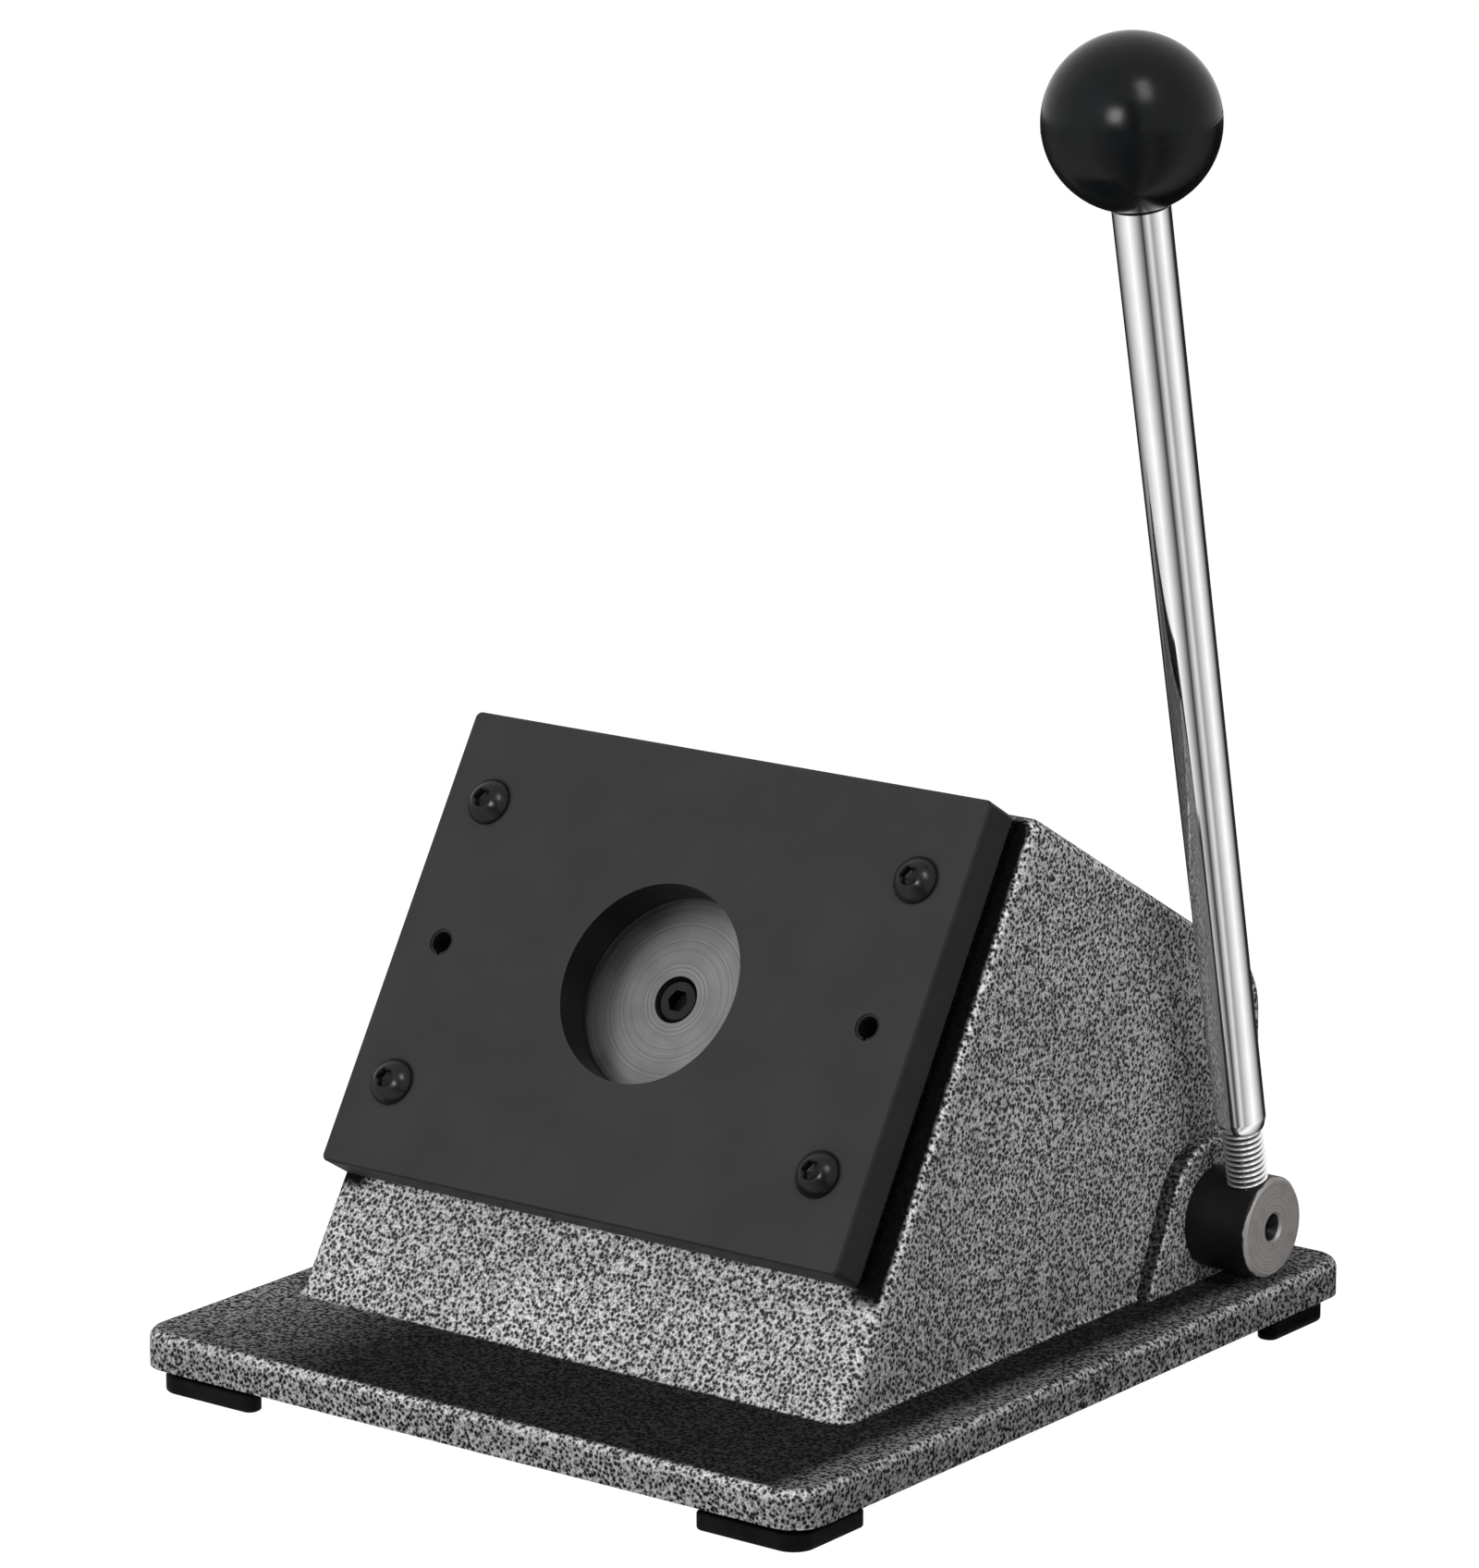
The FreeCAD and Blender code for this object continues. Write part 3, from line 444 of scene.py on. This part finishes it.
# %% Helpers for patterns
def noise(tree, place, scale, detail=2.0, rough=0.5):
    """Value of a smooth random pattern with this many cells per metre."""
    inputs = {"Vector": place, "Scale": scale, "Detail": detail, "Roughness": rough}
    return add(tree, "ShaderNodeTexNoise", inputs).outputs["Fac"]


def from_seeds(tree, place, scale):
    """Distance to the nearest of the seeds that are scattered through space."""
    inputs = {"Vector": place, "Scale": scale}
    return add(tree, "ShaderNodeTexVoronoi", inputs).outputs["Distance"]


def stretched(tree, place, scale):
    """Object coordinates drawn out or squeezed along each axis, for brushed and turned marks."""
    inputs = {"Vector": place, "Scale": scale}
    return add(tree, "ShaderNodeMapping", inputs).outputs["Vector"]


def along_axis(tree, place, centre, turn):
    """Place counted from a centre, with the axes turned."""
    inputs = {"Vector": place, "Location": centre, "Rotation": turn}
    return add(tree, "ShaderNodeMapping", inputs, vector_type="TEXTURE").outputs[0]


def off_axis(tree, place, centre, turn):
    """Distance from an axis: the length of the place with its share along the axis taken away."""
    inputs = {0: along_axis(tree, place, centre, turn), 1: (1, 1, 0)}
    flat = vectors(tree, "MULTIPLY", inputs).outputs[0]
    return vectors(tree, "LENGTH", {0: flat}).outputs["Value"]


def ring_marks(tree, place, centre, turn, scale):
    """Lathe marks: a random pattern that depends only on the distance from an axis."""
    inputs = {"W": off_axis(tree, place, centre, turn), "Scale": scale, "Detail": 3.0}
    return add(tree, "ShaderNodeTexNoise", inputs, noise_dimensions="1D").outputs["Fac"]


def relief(tree, shader, height, depth, strength=1.0):
    """Small surface relief from a height between 0 and 1, over a depth in metres."""
    inputs = {"Height": height, "Distance": depth, "Strength": strength}
    tree.links.new(add(tree, "ShaderNodeBump", inputs).outputs["Normal"], shader.inputs["Normal"])


# %% [markdown]
# ## Hammered paint
# The casting has a two-part powder coat: a silver film that pulls back into a net as it cures and
# leaves round dark pits, a little over a millimetre apart. A cell pattern gives the pits, because
# the distance to the nearest seed is small in a round patch about that seed. The seeds lie in
# space, so the surface cuts each patch at another size, and shallow pits come out paler. Smaller
# pits on a second set of seeds fill the film between them.

# %% Make the silver film and its pits
PIT_SCALE = 780.0
SMALL_PIT_SCALE = 1280.0
WARP_SCALE = 700.0
WARP_REACH = 0.0010
FLOW_SCALE = 2900.0
CLOUD_SCALE = 22.0
material, tree, shader, place = start_finish("hammered_paint", Specular_IOR_Level=0.0)
warp = add(tree, "ShaderNodeTexNoise", {"Vector": place, "Scale": WARP_SCALE, "Detail": 1.0})
either_way = vectors(tree, "SUBTRACT", {0: warp.outputs["Color"], 1: (0.5, 0.5, 0.5)})
shift = vectors(tree, "SCALE", {0: either_way.outputs[0], "Scale": WARP_REACH})
bent = vectors(tree, "ADD", {0: place, 1: shift.outputs[0]}).outputs[0]
large = span(tree, from_seeds(tree, bent, PIT_SCALE), 0.27, 0.72)
small = span(tree, from_seeds(tree, place, SMALL_PIT_SCALE), 0.20, 0.65, 0.35, 1.0)
film = product(tree, large, small)
flow = noise(tree, place, FLOW_SCALE)
cloud = noise(tree, place, CLOUD_SCALE, 3.0)
print("hammered paint: pits on a", round(1000 / PIT_SCALE, 2), "mm spacing")

# %% [markdown]
# The film's colour also changes with the form. A painted highlight brightens rounded edges, the
# more the higher they lie. Painted shade darkens the flat top of the base, a painted shadow
# darkens the corner beside the plates, and painted shade the boss's wall next to that corner. The
# film is also darker on the base's own edge. Each of these places is found by the direction that
# the surface faces and by where it lies on the casting.


# %% Find the casting's flat faces
def nearest_facing(tree, normal, directions):
    """Largest cosine of the normal with any direction: one on those faces, less on edges."""
    best = -1.0
    for direction in directions:
        cosine = vectors(tree, "DOT_PRODUCT", {0: normal, 1: direction}).outputs["Value"]
        best = number(tree, "MAXIMUM", cosine, best)
    return best


press_normal = tuple(press_axes[2])
press_tilt = (math.atan2(press_axes[1][2], press_axes[1][1]), 0, 0)
REAR_SLOPE = math.radians(30.3)
FLAT_FACES = [
    (1, 0, 0),
    (-1, 0, 0),
    (0, -1, 0),
    (0, 1, 0),
    (0, 0, 1),
    (0, 0, -1),
    press_normal,
    (0, math.sin(REAR_SLOPE), math.cos(REAR_SLOPE)),
]
normal = add(tree, "ShaderNodeTexCoord", {}).outputs["Normal"]
rounded = span(tree, nearest_facing(tree, normal, FLAT_FACES), 0.86, 0.985, 1.0, 0.0)
flat_top = span(tree, nearest_facing(tree, normal, [(0, 0, 1)]), 0.80, 0.98)
sloping = span(tree, nearest_facing(tree, normal, [press_normal]), 0.58, 0.84)
print("the casting has", len(FLAT_FACES), "flat faces")

# %% Find the places of painted shade, painted shadow and painted highlight
BASE_TOP = 0.019
BODY_HALF_WIDTH = 0.0985
PLATE_HALF_WIDTH = 0.0925
PLATE_HALF_HEIGHT = 0.070
base_low, base_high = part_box("cast_body")
where = add(tree, "ShaderNodeSeparateXYZ", {0: place}).outputs
# Painted shade on the flat top of the base, fading out towards its left end, right rim and back.
low_down = span(tree, where["Z"], BASE_TOP + 0.0005, BASE_TOP + 0.002, 1.0, 0.0)
left_end = span(tree, where["X"], base_low[0], base_low[0] + 0.075, 0.35, 0.97)
right_end = span(tree, where["X"], base_high[0] - 0.014, base_high[0] - 0.005, 1.0, 0.5)
rear_end = span(tree, where["Y"], base_high[1] - 0.032, base_high[1] - 0.006, 1.0, 0.3)
painted_shade_on_top = product(tree, flat_top, low_down, left_end, right_end, rear_end)

on_face = along_axis(tree, place, press_origin, press_tilt)
on_face = add(tree, "ShaderNodeSeparateXYZ", {0: on_face}).outputs
sideways = number(tree, "ABSOLUTE", on_face["X"])
up_slope = number(tree, "ABSOLUTE", on_face["Y"])
# Painted shadow in the corner beside the plates, and weaker painted shade on the boss's wall.
beside = product(
    tree,
    sloping,
    span(tree, sideways, PLATE_HALF_WIDTH - 0.008, PLATE_HALF_WIDTH - 0.002),
    span(tree, sideways, BODY_HALF_WIDTH - 0.002, BODY_HALF_WIDTH, 1.0, 0.7),
    span(tree, up_slope, PLATE_HALF_HEIGHT, PLATE_HALF_HEIGHT + 0.005, 1.0, 0.0),
)
dark = number(tree, "MAXIMUM", painted_shade_on_top, beside)
clear = number(tree, "SUBTRACT", 1.0, dark)
skirt = span(tree, where["Z"], BASE_TOP - 0.004, BASE_TOP - 0.001, 1.0, 0.0)
# Painted highlight on rounded edges: stronger higher up, and none where the shade is painted.
higher_up = span(tree, where["Z"], BASE_TOP + 0.015, BASE_TOP + 0.050)
painted_edge_highlight = product(tree, rounded, clear, span(tree, higher_up, 0.0, 1.0, 0.15, 0.7))
print("the base lies from x =", round(base_low[0], 4), "to", round(base_high[0], 4))

# %% Mix the hammered paint
# Of these colours, the bright film is a painted highlight, the dark film is painted shade, the dark pit serves the
# painted shade and the base's darker edge, and the near black is a painted shadow.
CLOUDY_FILM = (0.22, 0.22, 0.225, 1)
PAINTED_HIGHLIGHT_FILM = (0.84, 0.84, 0.85, 1)
SKIRT_FILM = (0.06, 0.06, 0.061, 1)
PAINTED_SHADE_FILM = (0.020, 0.020, 0.021, 1)
OPEN_PIT = (0.018, 0.018, 0.0185, 1)
DARKER_PIT = (0.005, 0.005, 0.005, 1)
PAINTED_SHADOW_BLACK = (0.003, 0.003, 0.003, 1)
PAINT_RELIEF = 0.00020
silver = ramp(tree, flow, (0.32, 0.30), (0.50, 0.46), (0.68, 0.66))
silver = blend(tree, span(tree, cloud, 0.35, 0.65, 0.0, 0.30), silver, CLOUDY_FILM)
# Painted highlight: the film is brighter on rounded edges.
silver = blend(tree, painted_edge_highlight, silver, PAINTED_HIGHLIGHT_FILM)
silver = blend(tree, product(tree, skirt, 0.5), silver, SKIRT_FILM)
# Painted shade on the base's top and in the corner beside the plates.
silver = blend(tree, dark, silver, PAINTED_SHADE_FILM)
# Pits are darker where the shade is painted and on the base's own edge.
pits = blend(tree, number(tree, "MAXIMUM", dark, skirt), OPEN_PIT, DARKER_PIT)
paint = blend(tree, film, pits, silver)
# Painted shadow: the corner beside the plates goes near black.
shade = product(tree, beside, span(tree, film, 0.6, 1.0, 1.0, 0.88))
paint = blend(tree, shade, paint, PAINTED_SHADOW_BLACK)
shine = product(tree, film, clear, span(tree, painted_edge_highlight, 0.0, 1.0, 0.20, 0.40))
tree.links.new(paint, shader.inputs["Base Color"])
tree.links.new(shine, shader.inputs["Metallic"])
tree.links.new(span(tree, flow, 0.3, 0.7, 0.40, 0.55), shader.inputs["Roughness"])
relief(tree, shader, film, PAINT_RELIEF, 0.8)
finishes["hammered_grey"] = material
print("hammered paint has", len(tree.nodes), "nodes")

# %% [markdown]
# ## Blackened steel
# The plates and screws are black oxide on steel: nearly black, satin, with the faint lines of the
# grinding underneath. A noise drawn out along one direction gives such lines. The plates' broad
# faces are ground. Painted shade darkens their other faces, and nearly blackens the faces in the
# die hole.

# %% Make the black finishes
DIE_HOLE_R = 0.030
PAINTED_SHADE_BLACK = (0.0005, 0.0005, 0.0005, 1)
BLUE_CAST = 1.06
BLACKS = {
    "black_plate": {
        "tone": (0.0195, 0.0225),
        "rough": (0.40, 0.48),
        "lines": (25, 900, 900),
        "level": 0.08,
        "edge": 0.55,
    },
    "black_screw": {
        "tone": (0.004, 0.007),
        "rough": (0.18, 0.28),
        "lines": (350, 350, 350),
        "level": 0.20,
        "edge": 1.0,
    },
}
for slot, look in BLACKS.items():
    material, tree, shader, place = start_finish(slot, Specular_IOR_Level=look["level"])
    lines = noise(tree, stretched(tree, place, look["lines"]), 1.0, 3.0, 0.6)
    patches = noise(tree, place, 45.0, 3.0)
    thin, thick = ((tone, tone, tone * BLUE_CAST) for tone in look["tone"])
    oxide = ramp(tree, patches, (0.35, thin), (0.65, thick))
    normal = add(tree, "ShaderNodeTexCoord", {}).outputs["Normal"]
    ground = span(tree, nearest_facing(tree, normal, [press_normal]), 0.6, 0.95)
    # Painted shade on faces that don't face along the press axis, nearly black close to that axis.
    radius = off_axis(tree, place, press_origin, press_tilt)
    edge = 1 - look["edge"]
    darker = span(tree, radius, DIE_HOLE_R + 0.001, DIE_HOLE_R + 0.004, 0.95, edge)
    painted_side_shade = blend(tree, darker, oxide, PAINTED_SHADE_BLACK)
    tree.links.new(blend(tree, ground, painted_side_shade, oxide), shader.inputs["Base Color"])
    tree.links.new(span(tree, lines, 0.3, 0.7, *look["rough"]), shader.inputs["Roughness"])
    relief(tree, shader, lines, 0.00002, 0.25)
    finishes[slot] = material
print("black finishes:", ", ".join(BLACKS))

# %% [markdown]
# ## The cross shaft
# The shaft is blackened too, but its end was faced off in the lathe and is bare. The bare part is
# chosen by its place along X, with a ragged edge, and the lathe's marks are rings about the axis:
# a noise that reads only the distance from that axis.

# %% Make the shaft's finish
SHAFT_BLACK = (0.0035, 0.0035, 0.004, 1)
SMEARED_STEEL = (0.20, 0.185, 0.18, 1)
RAGGED_EDGE = 0.0016
SHAFT_RINGS = 2600.0
material, tree, shader, place = start_finish("black_shaft", Specular_IOR_Level=0.20)
shaft_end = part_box("lever_shaft")[1][0]
turning = ring_marks(tree, place, hub_centre, (0, math.pi / 2, 0), SHAFT_RINGS)
smear = noise(tree, place, 160.0, 3.0)
along = add(tree, "ShaderNodeSeparateXYZ", {0: place}).outputs["X"]
ragged = number(tree, "ADD", along, product(tree, smear, RAGGED_EDGE))
bare = span(tree, ragged, shaft_end - 0.0003, shaft_end + 0.0001)
steel = ramp(tree, turning, (0.30, (0.20, 0.188, 0.182)), (0.70, (0.38, 0.365, 0.355)))
steel = blend(tree, span(tree, smear, 0.40, 0.75, 0.0, 0.6), steel, SMEARED_STEEL)
tree.links.new(blend(tree, bare, SHAFT_BLACK, steel), shader.inputs["Base Color"])
tree.links.new(product(tree, bare, 0.55), shader.inputs["Metallic"])
tree.links.new(span(tree, smear, 0.3, 0.7, 0.36, 0.50), shader.inputs["Roughness"])
relief(tree, shader, product(tree, turning, bare), 0.00006, 0.6)
finishes["black_shaft"] = material
print("shaft end at x =", round(shaft_end, 4))

# %% [markdown]
# ## Turned tool steel
# The punch and the parts that push it are hardened and then turned or ground bright. The punch's
# round face shows fine rings about its own axis, which is square to the sloping plate.

# %% Make the tool steel
HAZY_STEEL = (0.15, 0.15, 0.155, 1)
PUNCH_RINGS = 1500.0
material, tree, shader, place = start_finish("tool_steel", Metallic=1.0)
turning = ring_marks(tree, place, press_origin, press_tilt, PUNCH_RINGS)
haze = noise(tree, place, 70.0, 3.0)
steel = ramp(tree, turning, (0.30, (0.17, 0.17, 0.175)), (0.70, (0.27, 0.27, 0.275)))
steel = blend(tree, span(tree, haze, 0.35, 0.70, 0.0, 0.5), steel, HAZY_STEEL)
tree.links.new(steel, shader.inputs["Base Color"])
tree.links.new(span(tree, haze, 0.3, 0.7, 0.30, 0.42), shader.inputs["Roughness"])
relief(tree, shader, turning, 0.00002, 0.5)
finishes["tool_steel"] = material
tilt_degrees = round(math.degrees(press_tilt[0]), 1)
print("tool steel: rings about the press axis, tilted", tilt_degrees, "degrees")

# %% [markdown]
# ## Bright metals
# Chrome, ground steel, zinc, bronze and brass differ in colour, in gloss and in the marks that
# the last tool left. One recipe serves them all: a tone between two colours, a roughness
# between two values, and lines drawn out along one axis.

# %% Make the bright metals
METALS = {
    "chrome": {
        "tone": ((0.88, 0.88, 0.89), (0.94, 0.94, 0.95)),
        "rough": (0.05, 0.09),
        "lines": (300, 300, 12),
    },
    "ground_steel": {
        "tone": ((0.46, 0.46, 0.47), (0.56, 0.56, 0.57)),
        "rough": (0.18, 0.30),
        "lines": (700, 700, 40),
    },
    "spring_steel": {
        "tone": ((0.16, 0.16, 0.17), (0.28, 0.28, 0.29)),
        "rough": (0.28, 0.44),
        "lines": (400, 400, 400),
    },
    "zinc_plated": {
        "tone": ((0.52, 0.53, 0.56), (0.66, 0.67, 0.68)),
        "rough": (0.28, 0.42),
        "lines": (500, 500, 500),
    },
    "bronze": {
        "tone": ((0.07, 0.045, 0.025), (0.13, 0.085, 0.045)),
        "rough": (0.38, 0.52),
        "lines": (900, 900, 900),
    },
    "brass": {
        "tone": ((0.56, 0.42, 0.17), (0.68, 0.52, 0.23)),
        "rough": (0.20, 0.32),
        "lines": (600, 600, 80),
    },
}
for slot, look in METALS.items():
    material, tree, shader, place = start_finish(slot, Metallic=1.0)
    lines = noise(tree, stretched(tree, place, look["lines"]), 1.0, 3.0, 0.6)
    patches = noise(tree, place, 60.0, 3.0)
    dull, polished = look["tone"]
    tree.links.new(ramp(tree, patches, (0.35, dull), (0.65, polished)), shader.inputs["Base Color"])
    tree.links.new(span(tree, lines, 0.3, 0.7, *look["rough"]), shader.inputs["Roughness"])
    relief(tree, shader, lines, 0.000004, 0.3)
    finishes[slot] = material
print("bright metals:", ", ".join(METALS))

# %% [markdown]
# The lever's thread is chromed too, but the roots of a thread plate thinly and hold old grease,
# so they are dark and dull. They are found by their distance from the lever's axis.

# %% Darken the roots of the thread
ROOT_GREASE = (0.10, 0.10, 0.10, 1)
THREAD_ROUGHNESS = 0.3
tree = finishes["chrome"].node_tree
shader = tree.nodes["Principled BSDF"]
place = add(tree, "ShaderNodeTexCoord", {}).outputs["Object"]
lever_tilt = (math.atan2(lever_axes[1][2], lever_axes[1][1]), 0, 0)
from_axis = off_axis(tree, place, hub_centre, lever_tilt)
root = span(tree, from_axis, THREAD_R - 0.0010, THREAD_R - 0.0003, 1.0, 0.0)
thread = span(tree, from_axis, THREAD_R + 0.0001, THREAD_R + 0.0003, 1.0, 0.0)
chrome_colour = shader.inputs["Base Color"].links[0].from_socket
chrome_gloss = shader.inputs["Roughness"].links[0].from_socket
rougher = number(tree, "MAXIMUM", chrome_gloss, product(tree, thread, THREAD_ROUGHNESS))
tree.links.new(blend(tree, root, chrome_colour, ROOT_GREASE), shader.inputs["Base Color"])
tree.links.new(rougher, shader.inputs["Roughness"])
print("thread roots lie", round(1000 * (THREAD_R - THREAD_DEPTH), 2), "mm from the lever's axis")

# %% [markdown]
# ## The ball's plastic and the rubber feet
# The ball is polished phenolic: black, glossy, with the slight waviness of a moulding. The feet
# are moulded rubber: black, dull and finely grained.

# %% Make the ball's finish and the rubber
material, tree, shader, place = start_finish("black_ball", Specular_IOR_Level=0.15)
swirl = noise(tree, place, 90.0, 3.0)
phenolic = ramp(tree, swirl, (0.3, (0.0015, 0.0018, 0.002)), (0.7, (0.003, 0.0035, 0.004)))
tree.links.new(phenolic, shader.inputs["Base Color"])
tree.links.new(span(tree, swirl, 0.3, 0.7, 0.19, 0.26), shader.inputs["Roughness"])
relief(tree, shader, noise(tree, place, 240.0), 0.00003, 0.35)
finishes["black_ball"] = material

material, tree, shader, place = start_finish("black_rubber", Specular_IOR_Level=0.05)
grain = noise(tree, place, 2600.0)
dust = noise(tree, place, 110.0, 3.0)
tree.links.new(ramp(tree, dust, (0.35, 0.002), (0.70, 0.005)), shader.inputs["Base Color"])
tree.links.new(span(tree, grain, 0.3, 0.7, 0.52, 0.70), shader.inputs["Roughness"])
relief(tree, shader, grain, 0.00006, 0.5)
finishes["black_rubber"] = material
print("finishes made:", len(finishes))

# %% [markdown]
# ## Giving out the finishes
# The record names a slot for each CAD piece, so the CAD pieces take their finishes by that name.
# The new pieces take the finish of the slot that they were given above.

# %% Assign the finishes
new_pieces = (lever_bar, ball, button_screws, coil)
for part in frame["record"]["subparts"]:
    nodes[part["node"]].material_slots[0].material = finishes[part["material_slot"]]
for piece in new_pieces:
    piece.data.materials.append(finishes[piece["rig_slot"]])

# %% [markdown]
# ## The studio
# The machine stands on a pale floor before a white ground. The floor and the world are white to
# the camera and in mirrors, but give the machine only a little soft light of their own, so that
# the lamps shape it and the floor keeps its shadow.


# %% Make the floor
def flat_panel(name, centre, across, upward):
    """Rectangle in the scene: its centre plus and minus half of two edges."""
    centre, across, upward = (np.array(v, dtype=float) for v in (centre, across, upward))
    signs = np.array([(-1, -1), (1, -1), (1, 1), (-1, 1)])
    corners = centre + signs[:, :1] * across + signs[:, 1:] * upward
    mesh = bpy.data.meshes.new(name)
    mesh.from_pydata(corners.tolist(), [], [(0, 1, 2, 3)])
    panel = bpy.data.objects.new(name, mesh)
    bpy.context.scene.collection.objects.link(panel)
    return panel


def seen_directly(tree):
    """One for rays from the camera, a mirror or glass, and nothing for soft light."""
    path = add(tree, "ShaderNodeLightPath", {}).outputs
    mirror = number(tree, "MAXIMUM", path["Is Glossy Ray"], path["Is Transmission Ray"])
    return number(tree, "MAXIMUM", path["Is Camera Ray"], mirror)


FLOOR_HALF = 6.0
FLOOR_GLOW = 1.16
FLOOR_GLOW_SHARE = 0.85
floor = flat_panel("floor", (0, 0, 0), (FLOOR_HALF, 0, 0), (0, FLOOR_HALF, 0))
material, tree, shader, place = start_finish(
    "pale_floor",
    Roughness=0.9,
    Specular_IOR_Level=0.0,
)
pale = ramp(tree, noise(tree, place, 3.0), (0.3, 0.84), (0.7, 0.86))
tree.links.new(pale, shader.inputs["Base Color"])
glow = add(tree, "ShaderNodeEmission", {"Color": (1, 1, 1, 1), "Strength": FLOOR_GLOW})
share = product(tree, seen_directly(tree), FLOOR_GLOW_SHARE)
mixed = add(tree, "ShaderNodeMixShader", {0: share, 1: shader.outputs[0], 2: glow.outputs[0]})
tree.links.new(mixed.outputs[0], tree.nodes["Material Output"].inputs["Surface"])
floor.data.materials.append(material)
print("floor", 2 * FLOOR_HALF, "m wide")

# %% Make the world
AMBIENT = 0.12
world = bpy.data.worlds.new("studio")
bpy.context.scene.world = world
world.use_nodes = True
tree = world.node_tree
background = tree.nodes["Background"]
strength = span(tree, seen_directly(tree), 0.0, 1.0, AMBIENT, 1.0)
tree.links.new(strength, background.inputs["Strength"])
background.inputs["Color"].default_value = (1, 1, 1, 1)
print("world: soft light", AMBIENT, "and a white ground")

# %% [markdown]
# ## Camera and lamps
# The camera stands where the photograph was taken from, and the lamps are placed by their bearing
# from it, as seen from the machine. Two large soft lamps stand low in front, because the real
# machine's upright faces are bright and its flat tops are dark. They don't show in polished
# surfaces. Two small lamps do, and they give the ball its highlights.

# %% Place the camera
CAMERA_PLACE = (1.1424, -1.5153, 0.6247)
CAMERA_TURN = 37.34
CAMERA_DROP = 13.43
CAMERA_LENS = 157.37
camera_data = bpy.data.cameras.new("camera")
camera_data.lens = CAMERA_LENS
camera_data.sensor_width = 36.0
camera = bpy.data.objects.new("camera", camera_data)
camera.location = CAMERA_PLACE
camera.rotation_euler = (math.radians(90 - CAMERA_DROP), 0, math.radians(CAMERA_TURN))
bpy.context.scene.collection.objects.link(camera)
bpy.context.scene.camera = camera
print("camera at", CAMERA_PLACE)

# %% Place the lamps
AIM = np.array([0.0, 0.0, 0.16])


def bearing(turn, rise):
    """Direction from the machine: a turn to the right of the camera, a rise above the table."""
    turn = math.radians(CAMERA_TURN + turn)
    rise = math.radians(rise)
    level = math.cos(rise)
    return np.array([math.sin(turn) * level, -math.cos(turn) * level, math.sin(rise)])


def soft_lamp(name, turn, rise, distance, width, depth, watts, mirrored):
    """Soft box that faces the machine, and that shows in polished surfaces or doesn't."""
    data = bpy.data.lights.new(name, "AREA")
    data.shape = "RECTANGLE"
    data.size = width
    data.size_y = depth
    data.energy = watts
    lamp = bpy.data.objects.new(name, data)
    lamp.location = AIM + distance * bearing(turn, rise)
    lamp.rotation_euler = (lamp.location - Vector(AIM)).to_track_quat("Z", "Y").to_euler()
    lamp.visible_glossy = mirrored
    bpy.context.scene.collection.objects.link(lamp)


soft_lamp("key", -62, 12, 1.7, 1.0, 0.9, 29.0, mirrored=False)
soft_lamp("fill", 48, 24, 1.8, 0.9, 0.9, 9.0, mirrored=False)
soft_lamp("glint_left", -21, 21, 1.8, 0.45, 0.45, 15.0, mirrored=True)
soft_lamp("glint_right", 21, 50, 1.8, 0.35, 0.65, 9.0, mirrored=True)
print("lamps placed:", len(bpy.data.lights))

# %% [markdown]
# ## Cards for the mirrors
# Polished metal only looks polished if it has something dark to mirror, so a black card stands in
# front, and a fan on the floor goes from dark to light and back as its bearing changes. Both are
# seen in reflections alone: they cast no shadow and never hide the machine.


# %% Make the black card
def only_in_mirrors(card, finish):
    """Card that is seen in reflections alone."""
    card.visible_camera = False
    card.visible_diffuse = False
    card.visible_shadow = False
    card.data.materials.append(finish)


def upright_card(name, turn, distance, half_width, height, finish):
    """Card that stands on the floor at a bearing and faces the machine."""
    towards = bearing(turn, 0)
    across = np.array([-towards[1], towards[0], 0]) * half_width
    half_height = np.array([0, 0, height / 2])
    card = flat_panel(name, towards * distance + half_height, across, half_height)
    only_in_mirrors(card, finish)


CARD_TONE = 0.004
card_black, tree, shader, place = start_finish(
    "card_black",
    Roughness=1.0,
    Specular_IOR_Level=0.0,
)
uneven = ramp(tree, noise(tree, place, 4.0), (0.3, CARD_TONE), (0.7, CARD_TONE * 1.2))
tree.links.new(uneven, shader.inputs["Base Color"])
upright_card("card_front", -12, 2.4, 0.87, 2.0, card_black)
print("black card in front")

# %% Make the fan on the floor
FAN_COLUMNS = 96
FAN_REACH = 4.0
FAN_HEIGHT = 0.0015


def fan_finish(name, middle, *stops):
    """Glow that follows the bearing from the middle, as (turn right of the camera, tone) stops."""
    material, tree, _, place = start_finish(name)
    local = along_axis(tree, place, middle, (0, 0, math.radians(CAMERA_TURN - 90)))
    around = add(tree, "ShaderNodeTexGradient", {"Vector": local}, gradient_type="RADIAL")
    stops = [(0.5 + turn / 360, grey) for turn, grey in stops]
    tone = ramp(tree, around.outputs["Fac"], *stops)
    glow = add(tree, "ShaderNodeEmission", {"Color": tone, "Strength": 1.0})
    tree.links.new(glow.outputs[0], tree.nodes["Material Output"].inputs["Surface"])
    return material


def floor_fan(name, middle, far, finish):
    """Flat round card on the floor: a ring of points at one distance, as one face."""
    turn = 2 * math.pi * np.arange(FAN_COLUMNS) / FAN_COLUMNS
    ring = np.stack([np.cos(turn), np.sin(turn), np.zeros(FAN_COLUMNS)], axis=-1)
    mesh = bpy.data.meshes.new(name)
    mesh.from_pydata((middle + far * ring).tolist(), [], [tuple(range(FAN_COLUMNS))])
    card = bpy.data.objects.new(name, mesh)
    bpy.context.scene.collection.objects.link(card)
    only_in_mirrors(card, finish)


lever_foot = np.array([hub_centre[0], (hub_centre[1] + ball_centre[1]) / 2, FAN_HEIGHT])
fan = fan_finish(
    "card_fan",
    lever_foot,
    (-150, 0.02),
    (-60, 1.1),
    (-4, 0.03),
    (21, 0.8),
    (35, 0.35),
    (75, 1.1),
    (130, 0.02),
)
floor_fan("card_floor", lever_foot, FAN_REACH, fan)
print("fan on the floor reaches", FAN_REACH, "m")

# %% Set the view transform
bpy.context.scene.view_settings.view_transform = "Standard"
